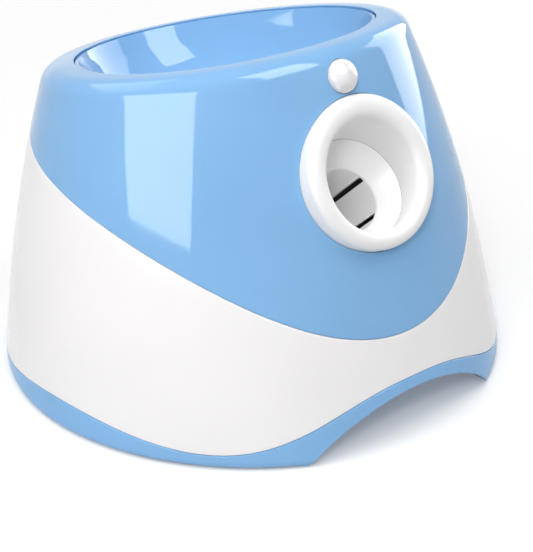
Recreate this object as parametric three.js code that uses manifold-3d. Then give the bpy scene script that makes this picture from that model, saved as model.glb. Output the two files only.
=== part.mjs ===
import * as THREE from "three";
import { mergeVertices } from "three/addons/utils/BufferGeometryUtils.js";
import Module from "manifold-3d";

const wasm = await Module();
wasm.setup();

// Automatic ball launcher for dogs. Lengths are in millimetres and angles in degrees.
// +Z is up, the launch mouth faces -Y, and the origin is on the floor under the middle of the base.

// Body form: a leaning cone whose section is almost round
const bodyRadius = 134.8;
const bodyReferenceHeight = 200;
const taperShare = 0.178;
const bowShare = 0.232;
const lean = 21.9;
const leanBow = 2.2;
const ovalShares = [-0.004, -0.009];
const triangleShares = [0, -0.0315];
const squareShares = [0.005, -0.001];
const wall = 2.4;
const shellSteps = 48;

// Sloping rim with its rolled shoulder
const rimHeight = 168.4;
const rimMiddleDepth = 18;
const rimTilt = 12.4;
const rimCrownSpan = 100;
const rimCrownAcross = 2.7;
const rimCrownAlong = 4.4;
const rimWidth = 15;
const shoulderHeight = 7;
const shoulderWidth = 8;
const lipDrop = 5;
const lipChamfer = 0.8;

// Clearances
const gap = 0.3;
const loose = 0.6;
const running = 0.1;
const overrun = 2;
const mergeDistance = 0.0005;

// Seams between the blue and white shells
const seamFront = 53.5;
const seamRear = 122;
const bandLow = 4.4;
const bandFront = 32;
const bandSide = 16;
const bandRear = 16;
const bandFrontAngle = 30;
const bandFrontPower = 2.4;
const bandSideAngle = 84;
const bandSideSpread = 27;
const bandRearSpread = 25;
const tongueHeight = 4;
const tongueWall = 2;

// Base with its arched recess
const baseLift = 1;
const baseFloor = 3.6;
const baseEdge = 3;
const archHalfWidth = 62;
const archHeight = 26.8;
const archPower = 0.85;
const archSteps = 14;
const archDepth = 64.8;
const archBack = archDepth - bodyRadius;

// Launch line: from the middle of the mouth, down and back into the body
const launchTilt = 43;
const bezelHeight = 127.8;
const mouthDrop = 2.5;
const mouthSink = 0.821;
const mouthHeight = bezelHeight - mouthDrop;
const mouthDepth = bodyPoint(0, mouthSink, mouthHeight).y;
const ballDiameter = 50.8;
const boreClearance = 0.9;
const boreRadius = ballDiameter / 2 + boreClearance;
const barrelWall = 2.2;
const barrelRadius = boreRadius + barrelWall;
const barrelStart = 13.7;
const barrelEnd = 124;
const stroke = 50;
const boreSteps = 32;

// Mouth bezel
const bezelSink = 0.683;
const bezelDepth = bodyPoint(0, bezelSink, bezelHeight).y;
const bezelTilt = 28.2;
const bezelRadius = 38;
const bezelSkirt = 9;
const bezelCrest = 5.2;
const bezelBand = 10.8;
const bezelWall = 2.4;
const bezelSteps = 36;
const bezelRollShares = [
  [0, 0.38],
  [0.07, 0.75],
  [0.26, 0.96],
  [0.46, 1],
  [0.67, 0.88],
  [0.87, 0.58],
  [1, 0.15],
];
const bezelHollowShares = [
  [0.46, -0.46],
  [0.18, 0.46],
  [0, 0.08],
];
const neckWall = 1.9;
const hookWidth = 10;
const hookDepth = 11.4;
const hookReach = 2.2;
const hookWall = 2.2;

const radians = THREE.MathUtils.degToRad;
const launch = radians(launchTilt);

const looks = {
  skyBlue: { color: 0x8fbfee, roughness: 0.14, metalness: 0 },
  white: { color: 0xf1f1f0, roughness: 0.25, metalness: 0 },
  pearl: { color: 0xf6f4f2, roughness: 0.35, metalness: 0 },
  black: { color: 0x1b1c1e, roughness: 0.5, metalness: 0 },
  grey: { color: 0x8f9499, roughness: 0.5, metalness: 0 },
  gearNylon: { color: 0xe9e6da, roughness: 0.45, metalness: 0 },
  rubber: { color: 0x2a2b2d, roughness: 0.85, metalness: 0 },
  steel: { color: 0xb9bcc0, roughness: 0.3, metalness: 1 },
  board: { color: 0x1f6b41, roughness: 0.5, metalness: 0 },
  clear: { color: 0xd8ecd0, roughness: 0.15, metalness: 0 },
  lead: { color: 0x232426, roughness: 0.5, metalness: 0 },
};

// Solids: closed triangle meshes, joined and cut as manifolds

function signedVolume(geometry) {
  const place = geometry.attributes.position;
  const [a, b, c] = [new THREE.Vector3(), new THREE.Vector3(), new THREE.Vector3()];
  let sum = 0;
  for (let i = 0; i < geometry.index.count; i += 3) {
    a.fromBufferAttribute(place, geometry.index.getX(i));
    b.fromBufferAttribute(place, geometry.index.getX(i + 1));
    c.fromBufferAttribute(place, geometry.index.getX(i + 2));
    sum += a.dot(b.cross(c));
  }
  return sum;
}

function closed(geometry) {
  const bare = geometry.clone();
  bare.deleteAttribute("normal");
  bare.deleteAttribute("uv");
  const merged = mergeVertices(bare, mergeDistance);
  const whole = [];
  const flipped = [];
  for (let i = 0; i < merged.index.count; i += 3) {
    const [a, b, c] = [0, 1, 2].map((corner) => merged.index.getX(i + corner));
    if (a === b || b === c || c === a) continue;
    whole.push(a, b, c);
    flipped.push(a, c, b);
  }
  merged.setIndex(whole);
  if (signedVolume(merged) < 0) merged.setIndex(flipped);
  merged.computeVertexNormals();
  return merged;
}

function solidOf(geometry) {
  const whole = closed(geometry);
  return new wasm.Manifold(
    new wasm.Mesh({
      numProp: 3,
      vertProperties: new Float32Array(whole.attributes.position.array),
      triVerts: new Uint32Array(whole.index.array),
    }),
  );
}

function geometryOf(solid) {
  const mesh = solid.getMesh();
  const geometry = new THREE.BufferGeometry();
  geometry.setAttribute("position", new THREE.BufferAttribute(mesh.vertProperties, 3));
  geometry.setIndex(new THREE.BufferAttribute(mesh.triVerts, 1));
  geometry.computeVertexNormals();
  return geometry;
}

function join(first, ...others) {
  return geometryOf(others.reduce((whole, other) => whole.add(solidOf(other)), solidOf(first)));
}

function cut(base, ...tools) {
  return geometryOf(tools.reduce((whole, tool) => whole.subtract(solidOf(tool)), solidOf(base)));
}

function common(first, second) {
  return geometryOf(solidOf(first).intersect(solidOf(second)));
}

// Simple forms

function rod(radius, from, to, sides = 20) {
  const form = new THREE.CylinderGeometry(radius, radius, to - from, sides);
  return form.rotateX(Math.PI / 2).translate(0, 0, (from + to) / 2);
}

function box(low, high) {
  const form = new THREE.BoxGeometry(high[0] - low[0], high[1] - low[1], high[2] - low[2]);
  return form.translate((low[0] + high[0]) / 2, (low[1] + high[1]) / 2, (low[2] + high[2]) / 2);
}

function turned(profile, sides) {
  const points = profile.map(([radius, height]) => new THREE.Vector2(radius, height));
  if (points[0].x > 0) points.push(points[0].clone());
  return closed(new THREE.LatheGeometry(points, sides).rotateX(Math.PI / 2));
}

function prism(shape, from, to, curveSegments = 8) {
  const form = new THREE.ExtrudeGeometry(shape, {
    depth: to - from,
    bevelEnabled: false,
    curveSegments,
    steps: 1,
  });
  return form.translate(0, 0, from);
}

function outlineOf(points) {
  return new THREE.Shape(points.map(([x, y]) => new THREE.Vector2(x, y)));
}

function roundHole(shape, x, y, radius) {
  shape.holes.push(new THREE.Path().absarc(x, y, radius, 0, 2 * Math.PI, true));
  return shape;
}

function shift(geometry, x, y, z) {
  return geometry.clone().translate(x, y, z);
}

// A skin over rings of points. Each ring is a closed loop, or starts and ends on an axis.
function sweep(rings, loop = true) {
  const size = rings[0].length;
  const spans = loop ? size : size - 1;
  const place = rings.flat().flatMap((point) => point.toArray());
  const index = [];
  for (let i = 0; i < rings.length; i += 1) {
    const here = i * size;
    const next = ((i + 1) % rings.length) * size;
    for (let k = 0; k < spans; k += 1) {
      const up = (k + 1) % size;
      index.push(here + k, next + k, next + up, here + k, next + up, here + up);
    }
  }
  const geometry = new THREE.BufferGeometry();
  geometry.setAttribute("position", new THREE.Float32BufferAttribute(place, 3));
  geometry.setIndex(index);
  return closed(geometry);
}

function around(steps, make) {
  return Array.from({ length: steps }, (_, i) => make(-Math.PI + (2 * Math.PI * i) / steps));
}

// Body surface. The angle is 0 at the front and grows towards +X.

function sectionRadius(angle, height) {
  const share = height / bodyReferenceHeight;
  const ripple = ([still, grown], turns) => (still + grown * share) * Math.cos(turns * angle);
  const form = 1 + ripple(ovalShares, 2) + ripple(triangleShares, 3) + ripple(squareShares, 4);
  return bodyRadius * (1 - taperShare * share - bowShare * share * share) * form;
}

function sectionDepth(height) {
  const share = height / bodyReferenceHeight;
  return lean * share + leanBow * share * share;
}

function bodyPoint(angle, inset, height) {
  const radius = sectionRadius(angle, height) - inset;
  return new THREE.Vector3(
    radius * Math.sin(angle),
    sectionDepth(height) - radius * Math.cos(angle),
    height,
  );
}

function axisPoint(height) {
  return new THREE.Vector3(0, sectionDepth(height), height);
}

function rimSurface(x, y) {
  const along = y - rimMiddleDepth;
  const crownAcross = rimCrownAcross * (x / rimCrownSpan) ** 2;
  const crownAlong = rimCrownAlong * (along / rimCrownSpan) ** 2;
  return rimHeight - Math.tan(radians(rimTilt)) * along - crownAcross - crownAlong;
}

function rimAt(angle, inset) {
  let height = rimHeight;
  for (let pass = 0; pass < 12; pass += 1) {
    const point = bodyPoint(angle, inset, height);
    height = rimSurface(point.x, point.y);
  }
  return height;
}

function seamAt(angle) {
  return seamFront + (seamRear - seamFront) * (1 - Math.exp(-angle * angle));
}

function bandAt(angle) {
  const turn = THREE.MathUtils.radToDeg(Math.abs(angle));
  const front = Math.exp(-((turn / bandFrontAngle) ** bandFrontPower));
  const side = Math.exp(-(((turn - bandSideAngle) / bandSideSpread) ** 2));
  const rear = Math.exp(-(((turn - 180) / bandRearSpread) ** 2));
  const rises = [(bandFront - bandLow) * front, (bandSide - bandLow) * side];
  return bandLow + rises[0] + rises[1] + (bandRear - bandLow) * rear;
}

function between(from, to, shares) {
  return shares.map((share) => from + (to - from) * share);
}

// A frame on the body surface: +Z outwards, +Y up along the surface
function surfaceFrame(angle, height, inset = 0) {
  const origin = bodyPoint(angle, inset, height);
  const step = wall;
  const turn = step / bodyRadius;
  const across = bodyPoint(angle + turn, inset, height).sub(bodyPoint(angle - turn, inset, height));
  const up = bodyPoint(angle, inset, height + step).sub(bodyPoint(angle, inset, height - step));
  const out = across.clone().cross(up).normalize();
  across.normalize();
  const frame = new THREE.Group();
  frame.setRotationFromMatrix(new THREE.Matrix4().makeBasis(across, out.clone().cross(across), out));
  frame.position.copy(origin);
  return frame;
}

function inFrame(geometry, frame) {
  frame.updateMatrixWorld(true);
  return geometry.clone().applyMatrix4(frame.matrixWorld);
}

// A curved plate that follows the body
function bodyPatch(fromAngle, toAngle, low, high, outer, inner, steps = 6) {
  const rings = [];
  for (let i = 0; i <= steps; i += 1) {
    const angle = fromAngle + ((toAngle - fromAngle) * i) / steps;
    rings.push([
      bodyPoint(angle, outer, low),
      bodyPoint(angle, outer, (low + high) / 2),
      bodyPoint(angle, outer, high),
      bodyPoint(angle, inner, high),
      bodyPoint(angle, inner, (low + high) / 2),
      bodyPoint(angle, inner, low),
    ]);
  }
  const middle = (ring) => ring.reduce((sum, p) => sum.add(p), new THREE.Vector3()).divideScalar(6);
  const firstCap = rings[0].map(() => middle(rings[0]));
  const lastCap = rings[steps].map(() => middle(rings[steps]));
  const skin = [firstCap, ...rings, lastCap];
  const geometry = new THREE.BufferGeometry();
  const place = skin.flat().flatMap((point) => point.toArray());
  const index = [];
  for (let i = 0; i + 1 < skin.length; i += 1) {
    for (let k = 0; k < 6; k += 1) {
      const up = (k + 1) % 6;
      const [here, next] = [i * 6, (i + 1) * 6];
      index.push(here + k, next + k, next + up, here + k, next + up, here + up);
    }
  }
  geometry.setAttribute("position", new THREE.Float32BufferAttribute(place, 3));
  geometry.setIndex(index);
  return closed(geometry);
}

// The volume inside the body wall, up to a height
function bodyCore(inset, low, high) {
  const rings = around(shellSteps, (angle) => [
    axisPoint(low),
    bodyPoint(angle, inset, low),
    bodyPoint(angle, inset, high),
    axisPoint(high),
  ]);
  return sweep(rings, false);
}

const launcher = new THREE.Group();

function addPart(parent, name, geometry, look) {
  const part = new THREE.Mesh(geometry, new THREE.MeshStandardMaterial(looks[look]));
  part.name = name;
  parent.add(part);
  return part;
}

// Frames that carry groups of parts

// Barrel frame: +Z runs down the bore from the mouth, +Y is its underside
const barrel = new THREE.Group();
barrel.position.set(0, mouthDepth, mouthHeight);
barrel.rotation.x = -Math.PI / 2 - launch;
launcher.add(barrel);

// Side frame: X is the body's Y, Y is the body's Z, and Z is the body's X
const side = new THREE.Group();
side.setRotationFromMatrix(
  new THREE.Matrix4().makeBasis(
    new THREE.Vector3(0, 1, 0),
    new THREE.Vector3(0, 0, 1),
    new THREE.Vector3(1, 0, 0),
  ),
);
launcher.add(side);

// A point of the middle plane at a distance down the bore and above its line
function lineAt(along, above) {
  return [
    mouthDepth + along * Math.cos(launch) + above * Math.sin(launch),
    mouthHeight - along * Math.sin(launch) + above * Math.cos(launch),
  ];
}

// Screws: head above z = 0, shank below
const screwHead = 3.2;
const screwHeadHeight = 2;
const screwShank = 1.5;
const screwHole = screwShank + gap;
const screwSides = 10;

function screw(length) {
  const profile = [
    [0, screwHeadHeight],
    [screwHead - wall / 4, screwHeadHeight],
    [screwHead, screwHeadHeight / 2],
    [screwHead, 0],
    [screwShank, 0],
    [screwShank, screwShank - length],
    [0, -length],
  ];
  return turned(profile, screwSides);
}

// Upper shell

const bezelFrame = new THREE.Group();
bezelFrame.position.set(0, bezelDepth, bezelHeight);
bezelFrame.rotation.x = Math.PI / 2 - radians(bezelTilt);

const sensorRise = 43;
const sensorHeight = bezelHeight + sensorRise;
const sensorRadius = 8.3;
const sensorFrame = surfaceFrame(0, sensorHeight);

const outerLevelShares = [0, 0.33, 0.67, 1];
const innerLevelShares = [1, 0.5, 0];
const shoulderShares = [0.35, 0.7, 1];

function upperShellRing(angle) {
  const edge = seamAt(angle) + gap / 2;
  const top = rimAt(angle, 0);
  const shoulder = top - shoulderHeight;
  const rim = rimAt(angle, rimWidth);
  const lipInset = rimWidth - wall;
  const roll = shoulderShares.map((share) => {
    const inset = shoulderWidth * share * share;
    const start = (1 - share) ** 2 * shoulder + 2 * share * (1 - share) * top;
    return bodyPoint(angle, inset, start + share * share * rimAt(angle, shoulderWidth));
  });
  const innerTop = shoulder - wall;
  return [
    ...between(edge, shoulder, outerLevelShares).map((height) => bodyPoint(angle, 0, height)),
    ...roll,
    bodyPoint(angle, rimWidth - lipChamfer, rim),
    bodyPoint(angle, rimWidth, rim - lipChamfer),
    bodyPoint(angle, rimWidth, rim - lipDrop),
    bodyPoint(angle, lipInset, rim - lipDrop),
    bodyPoint(angle, lipInset, rim - wall),
    bodyPoint(angle, shoulderWidth, rimAt(angle, shoulderWidth) - wall),
    ...between(edge, innerTop, innerLevelShares).map((height) => bodyPoint(angle, wall, height)),
  ];
}

function makeUpperShell() {
  const shell = sweep(around(shellSteps, upperShellRing));
  const mouthHole = inFrame(rod(bezelRadius + gap, -4 * bezelSkirt, bezelSkirt, boreSteps), bezelFrame);
  const sensorHole = inFrame(rod(sensorRadius + gap, -bezelSkirt, bezelSkirt), sensorFrame);
  return cut(shell, mouthHole, sensorHole);
}
addPart(launcher, "upper_shell", makeUpperShell(), "skyBlue");

// Control panel place in the rear of the lower shell
const panelHeight = 80;
const panelHalfTall = 18;
const panelHalfWide = 30;
const panelProud = 0.2;
const panelFlange = 3;
const panelFlangeWall = 1.5;
const panelSeat = wall + 3 * gap;
const panelInner = panelSeat + panelFlangeWall;
const panelFrame = surfaceFrame(Math.PI, panelHeight);
const panelArc = panelHalfWide / sectionRadius(Math.PI, panelHeight);
const gapArc = gap / sectionRadius(Math.PI, panelHeight);
const flangeArc = panelFlange / sectionRadius(Math.PI, panelHeight);

function panelPatch(growArc, grow, outer, inner) {
  return bodyPatch(
    Math.PI - panelArc - growArc,
    Math.PI + panelArc + growArc,
    panelHeight - panelHalfTall - grow,
    panelHeight + panelHalfTall + grow,
    outer,
    inner,
  );
}

// Power inlet place below the panel
const inletHeight = 38;
const inletRadius = 5.5;
const inletFrame = surfaceFrame(Math.PI, inletHeight);

// Base screws and the bosses that they hold
const baseScrewAngles = [-62, 62, -128, 128];
const bossInset = 14;
const bossRadius = 4.5;
const bossBottom = 8;
const bossTop = 34;
const ribBottom = 16;
const ribWall = 2;
const bossPlace = (turn) => bodyPoint(radians(turn), bossInset, baseFloor);

function lowerShellRing(angle) {
  const low = bandAt(angle) + gap / 2;
  const high = seamAt(angle) - gap / 2;
  const tongue = high + tongueHeight;
  const tongueInset = wall + gap;
  return [
    ...between(low, high, outerLevelShares).map((height) => bodyPoint(angle, 0, height)),
    bodyPoint(angle, tongueInset, high),
    bodyPoint(angle, tongueInset, tongue),
    bodyPoint(angle, tongueInset + tongueWall, tongue),
    bodyPoint(angle, tongueInset + tongueWall, high - tongueHeight),
    ...between(low, high - 2 * tongueHeight, innerLevelShares).map((height) =>
      bodyPoint(angle, wall, height),
    ),
  ];
}

function bossRib(turn) {
  const boss = bossPlace(turn);
  const bar = box([-ribWall / 2, 0, ribBottom], [ribWall / 2, bossInset, bossTop]);
  bar.rotateZ(Math.atan2(-boss.x, boss.y));
  return bar.translate(boss.x, boss.y, 0);
}

function makeLowerShell() {
  const shell = sweep(around(shellSteps, lowerShellRing));
  const core = bodyCore(wall / 2, 0, bossTop + overrun);
  const bosses = baseScrewAngles.map((turn) => {
    const boss = bossPlace(turn);
    const post = shift(rod(bossRadius, bossBottom, bossTop, 14), boss.x, boss.y, 0);
    return common(join(post, bossRib(turn)), core);
  });
  const pilots = baseScrewAngles.map((turn) => {
    const boss = bossPlace(turn);
    return shift(rod(screwHole, 0, bossTop - wall, screwSides), boss.x, boss.y, 0);
  });
  const window = panelPatch(gapArc, gap, -overrun, 2 * wall);
  const inlet = inFrame(rod(inletRadius + gap, -4 * wall, 4 * wall), inletFrame);
  return cut(join(shell, ...bosses), ...pilots, window, inlet);
}
addPart(launcher, "lower_shell", makeLowerShell(), "white");

// Battery bay for two rows of three C cells
const cellDiameter = 26.2;
const cellLength = 50;
const cellRows = 3;
const springRoom = 8;
const bayHalfX = cellLength + springRoom / 2;
const bayFront = 27;
const bayRear = bayFront + cellRows * cellDiameter + 3 * loose;
const doorTop = 3.4;
const bayTop = doorTop + cellDiameter + loose;

// Circuit board posts
const boardInset = 22.8;
const boardWidth = 50;
const boardFront = -25;
const boardLength = 67;
const boardLow = [boardInset - bodyRadius, boardFront];
const boardHigh = [boardLow[0] + boardWidth, boardFront + boardLength];
const boardHeight = 12;
const boardThickness = 1.6;
const postRadius = 3;
const boardCorners = [
  [boardLow[0] + postRadius, boardLow[1] + postRadius],
  [boardLow[0] + postRadius, boardHigh[1] - postRadius],
  [boardHigh[0] - postRadius, boardLow[1] + postRadius],
  [boardHigh[0] - postRadius, boardHigh[1] - postRadius],
];

// Rubber feet
const footRadius = 9;
const footHeight = 2.2;
const footRecess = 1.5;
const footInset = 26.8;
const footCircle = bodyRadius - footInset;
const footAngles = [-48, 48, -140, 140];
const footPlace = (turn) => [footCircle * Math.sin(radians(turn)), -footCircle * Math.cos(radians(turn))];

const postTop = bossBottom - gap;
const counterboreRadius = screwHead + loose;
const counterboreTop = baseLift + screwHeadHeight + gap;

function baseRing(angle) {
  const band = bandAt(angle) - gap / 2;
  const tongueInset = wall + gap;
  const edge = [0, 0.5, 1].map((share) => {
    const inset = baseEdge * (1 - share) ** 2;
    return bodyPoint(angle, inset, baseLift + baseEdge * share * share);
  });
  return [
    axisPoint(baseLift),
    ...edge,
    bodyPoint(angle, 0, band),
    bodyPoint(angle, tongueInset, band),
    bodyPoint(angle, tongueInset, band + tongueHeight),
    bodyPoint(angle, tongueInset + tongueWall, band + tongueHeight),
    bodyPoint(angle, tongueInset + tongueWall, baseFloor),
    axisPoint(baseFloor),
  ];
}

function archOutline(grow) {
  const points = [];
  for (let i = 0; i <= archSteps; i += 1) {
    const share = -Math.cos((Math.PI * i) / archSteps);
    const height = (archHeight + grow) * Math.max(0, 1 - share * share) ** archPower;
    points.push([share * (archHalfWidth + grow), height]);
  }
  const foot = archHalfWidth + grow;
  return outlineOf([...points, [foot, -overrun], [-foot, -overrun]]);
}

function archPrism(grow, back) {
  const front = -bodyRadius - overrun;
  return prism(archOutline(grow), 0, back - front).rotateX(Math.PI / 2).translate(0, back, 0);
}

function makeBase() {
  const tray = sweep(around(shellSteps, baseRing), false);
  const lining = common(
    archPrism(wall, archBack + wall),
    bodyCore(wall / 2, baseLift, archHeight + 2 * wall),
  );
  const bay = box(
    [-bayHalfX - wall, bayFront - wall, baseLift],
    [bayHalfX + wall, bayRear + wall, bayTop + wall],
  );
  const screwPosts = baseScrewAngles.map((turn) => {
    const place = bossPlace(turn);
    return shift(rod(bossRadius, baseLift + wall, postTop, 14), place.x, place.y, 0);
  });
  const boardPosts = boardCorners.map(([x, y]) =>
    shift(rod(postRadius, baseLift + wall, boardHeight - gap, 12), x, y, 0),
  );
  const bayRoom = box([-bayHalfX, bayFront, -overrun], [bayHalfX, bayRear, bayTop]);
  const screwHoles = baseScrewAngles.flatMap((turn) => {
    const place = bossPlace(turn);
    return [
      shift(rod(screwHole, 0, postTop + overrun, screwSides), place.x, place.y, 0),
      shift(rod(counterboreRadius, 0, counterboreTop, 14), place.x, place.y, 0),
    ];
  });
  const footHoles = footAngles.map((turn) => {
    const [x, y] = footPlace(turn);
    return shift(rod(footRadius + gap, 0, baseLift + footRecess), x, y, 0);
  });
  const base = join(tray, lining, bay, ...screwPosts, ...boardPosts);
  return cut(base, archPrism(0, archBack), bayRoom, ...screwHoles, ...footHoles);
}
addPart(launcher, "base_tray", makeBase(), "skyBlue");

footAngles.forEach((turn, i) => {
  const [x, y] = footPlace(turn);
  const chamfer = footHeight / 4;
  const foot = turned(
    [
      [0, 0],
      [footRadius - chamfer, 0],
      [footRadius, chamfer],
      [footRadius, footHeight],
      [0, footHeight],
    ],
    20,
  );
  addPart(launcher, `rubber_foot_${i + 1}`, foot, "rubber").position.set(x, y, 0);
});

const baseScrewLength = 20;
baseScrewAngles.forEach((turn, i) => {
  const place = bossPlace(turn);
  const part = addPart(launcher, `base_screw_${i + 1}`, screw(baseScrewLength), "steel");
  part.rotation.x = Math.PI;
  part.position.set(place.x, place.y, counterboreTop - gap);
});

// Battery door with its finger latch, hinged on its front edge
const doorThickness = 2.2;
const doorBottom = doorTop - doorThickness;
const latchHalfWidth = 9;
const latchDepth = 7;
const latchRise = 6;

function makeDoor() {
  const plate = box(
    [-bayHalfX + gap, bayFront + gap, doorBottom],
    [bayHalfX - gap, bayRear - gap, doorTop],
  );
  const back = bayRear - gap;
  const notch = box(
    [-latchHalfWidth - gap, back - latchDepth, doorBottom - overrun],
    [latchHalfWidth + gap, back + overrun, doorTop + overrun],
  );
  const tongue = outlineOf([
    [back - latchDepth - wall, doorBottom],
    [back - gap, doorBottom],
    [back - gap, doorTop + latchRise],
    [back - wall, doorTop + latchRise],
    [back - wall, doorTop],
    [back - latchDepth - wall, doorTop],
  ]);
  const latch = inFrame(prism(tongue, -latchHalfWidth + loose, latchHalfWidth - loose), side);
  return join(cut(plate, notch), latch);
}
addPart(launcher, "battery_door", makeDoor(), "skyBlue");

// Coil springs

class HelixCurve extends THREE.Curve {
  constructor(radius, endRadius, turns, length) {
    super();
    Object.assign(this, { radius, endRadius, turns, length });
  }

  getPoint(share, target = new THREE.Vector3()) {
    const angle = 2 * Math.PI * this.turns * share;
    const radius = this.radius + (this.endRadius - this.radius) * share;
    return target.set(radius * Math.cos(angle), radius * Math.sin(angle), this.length * share);
  }

  getPointAt(share, target) {
    return this.getPoint(share, target);
  }
}

function coil(radius, endRadius, turns, length, wire) {
  const section = new THREE.Shape().absarc(0, 0, wire / 2, 0, 2 * Math.PI, false);
  const run = new HelixCurve(radius, endRadius, turns, length - wire);
  const form = new THREE.ExtrudeGeometry(section, {
    steps: 8 * turns,
    curveSegments: 3,
    extrudePath: run,
  });
  return closed(form.translate(0, 0, wire / 2));
}

const contactRadius = 7;
const contactTip = 4;
const contactTurns = 3;
const contactWire = 0.9;
for (let row = 0; row < cellRows; row += 1) {
  const spring = coil(contactRadius, contactTip, contactTurns, springRoom, contactWire);
  const part = addPart(launcher, `battery_spring_${row + 1}`, spring, "steel");
  const left = row % 2 === 0;
  part.rotation.y = left ? Math.PI / 2 : -Math.PI / 2;
  const x = (bayHalfX - gap) * (left ? -1 : 1);
  part.position.set(x, bayFront + (row + 0.5) * (cellDiameter + loose), doorTop + cellDiameter / 2);
}

// Hopper: bowl, throat and the flange under the rim's lip
const hopperSteps = 44;
const hopperWall = 2.2;
const hopperDrop = 1;
const hopperFlange = 5;
const feedAlong = 55.7;
const throatRadius = 28;
const collarRadius = 27.2;
const collarWall = 2.2;
const collarTop = 36;
const throatFront = 46;
const throatRear = 60;
const bowlInShares = [0, 0.1, 0.22, 0.42, 0.7];
const bowlDownShares = [0, 0.35, 0.62, 0.8, 0.92];
const bowlOutShares = [1, 0.95, 0.8, 0.4, 0.2];
const bowlUnderShares = [0, 0.25, 0.6, 0.9, 1];

function throatPoint(angle, radius, above) {
  const [y, z] = lineAt(feedAlong - radius * Math.cos(angle), above);
  return new THREE.Vector3(radius * Math.sin(angle), y, z);
}

function hopperRing(angle) {
  const inner = rimWidth + gap + hopperWall;
  const edge = bodyPoint(angle, inner, rimAt(angle, inner) - hopperDrop);
  const rise = throatFront + ((throatRear - throatFront) * (1 - Math.cos(angle))) / 2;
  const throat = throatPoint(angle, throatRadius, rise);
  const out = new THREE.Vector3(Math.sin(angle), -Math.cos(angle), 0);
  const inside = bowlInShares.map((share, i) => {
    const point = edge.clone().lerp(throat, share);
    point.z = edge.z + (throat.z - edge.z) * bowlDownShares[i];
    return point;
  });
  const outside = inside.map((point, i) => {
    const moved = point.clone().addScaledVector(out, hopperWall * bowlOutShares[i]);
    moved.z -= hopperWall * bowlUnderShares[i];
    return moved;
  });
  const seat = rimWidth + gap;
  const rim = rimAt(angle, rimWidth);
  const flangeTop = rim - lipDrop - gap;
  return [
    ...inside,
    throat,
    throatPoint(angle, throatRadius, collarTop + gap),
    throatPoint(angle, throatRadius + hopperWall, collarTop + gap),
    throatPoint(angle, throatRadius + hopperWall, rise - hopperWall),
    ...outside.slice(1).reverse(),
    bodyPoint(angle, seat, flangeTop - hopperWall),
    bodyPoint(angle, seat - hopperFlange, flangeTop - hopperWall),
    bodyPoint(angle, seat - hopperFlange, flangeTop),
    bodyPoint(angle, seat, flangeTop),
    outside[0],
  ];
}
addPart(launcher, "hopper", sweep(around(hopperSteps, hopperRing)), "skyBlue");

// Mouth bezel with the neck that the barrel's collar slips over
const neckRadius = boreRadius + neckWall;
const neckEnd = 13.4;
const socketStart = 10.5;
const socketEnd = 19;
const socketWall = 2;
const socketRadius = neckRadius + gap + socketWall;

function makeBezel() {
  const back = bezelRadius - bezelWall;
  const ring = turned(
    [
      [bezelRadius, -bezelSkirt],
      ...bezelRollShares.map(([inset, rise]) => [
        bezelRadius - inset * bezelBand,
        rise * bezelCrest,
      ]),
      [boreRadius - overrun, -overrun],
      [boreRadius - overrun, -2 * bezelWall],
      ...bezelHollowShares.map(([inset, rise]) => [back - inset * bezelBand, rise * bezelCrest]),
      [back, -bezelSkirt],
    ],
    bezelSteps,
  );
  const hooks = [-1, 1].map((way) => {
    const near = bezelRadius - bezelWall / 2;
    const ends = [way * near, way * (bezelRadius + hookReach)].sort((a, b) => a - b);
    const tabEnds = [way * back, way * (bezelRadius - loose)].sort((a, b) => a - b);
    const tab = box([tabEnds[0], -hookWidth / 2, -hookDepth], [tabEnds[1], hookWidth / 2, -bezelWall]);
    const barb = [-hookDepth, hookWall - hookDepth];
    return join(
      tab,
      box([ends[0], -hookWidth / 2, barb[0]], [ends[1], hookWidth / 2, barb[1]]),
    );
  });
  const socketRoom = rod(socketRadius + gap, socketStart - gap, barrelEnd, boreSteps);
  const face = join(ring, ...hooks);
  const neck = rod(neckRadius, -overrun, neckEnd, boreSteps);
  const bore = rod(boreRadius, -4 * bezelSkirt, barrelEnd, boreSteps);
  const clear = cut(inFrame(face, bezelFrame), inFrame(socketRoom, barrel));
  const body = join(clear, inFrame(neck, barrel));
  return cut(body, inFrame(bore, barrel));
}
addPart(launcher, "nozzle_bezel", makeBezel(), "white");

// Motion sensor: dome, board and element
const domeHeight = 5.6;
const domeSkirt = 7.5;
const domeWall = 1.2;
const earReach = 2;
const earHalfWidth = 3;
const earTop = -3.6;
const domeShares = [0, 0.25, 0.5, 0.75, 1];
launcher.add(sensorFrame);

function makeLens() {
  const outer = domeShares.map((share) => {
    const turn = (Math.PI / 2) * share;
    return [sensorRadius * Math.sin(turn), domeHeight * Math.cos(turn)];
  });
  const innerScale = (sensorRadius - domeWall) / sensorRadius;
  const inner = outer.map(([radius, height]) => [radius * innerScale, height - domeWall]).reverse();
  const dome = turned(
    [...outer, [sensorRadius, -domeSkirt], [sensorRadius - domeWall, -domeSkirt], ...inner],
    20,
  );
  const ears = [-1, 1].map((way) => {
    const near = sensorRadius - domeWall / 2;
    const ends = [way * near, way * (sensorRadius + earReach)].sort((a, b) => a - b);
    return box([ends[0], -earHalfWidth, earTop - domeWall], [ends[1], earHalfWidth, earTop]);
  });
  return join(dome, ...ears);
}
addPart(sensorFrame, "sensor_lens", makeLens(), "pearl");
const sensorBoardTop = -domeSkirt - gap;
const sensorBoardLow = [-8.5, -8];
const sensorBoardHigh = [8.5, 6];
const sensorBoard = box(
  [...sensorBoardLow, sensorBoardTop - boardThickness],
  [...sensorBoardHigh, sensorBoardTop],
);
addPart(sensorFrame, "sensor_board", sensorBoard, "board");
const elementRadius = 4.5;
const elementHeight = 4;
const element = rod(elementRadius, sensorBoardTop + gap, sensorBoardTop + gap + elementHeight, 16);
addPart(sensorFrame, "sensor_element", element, "steel");

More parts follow.
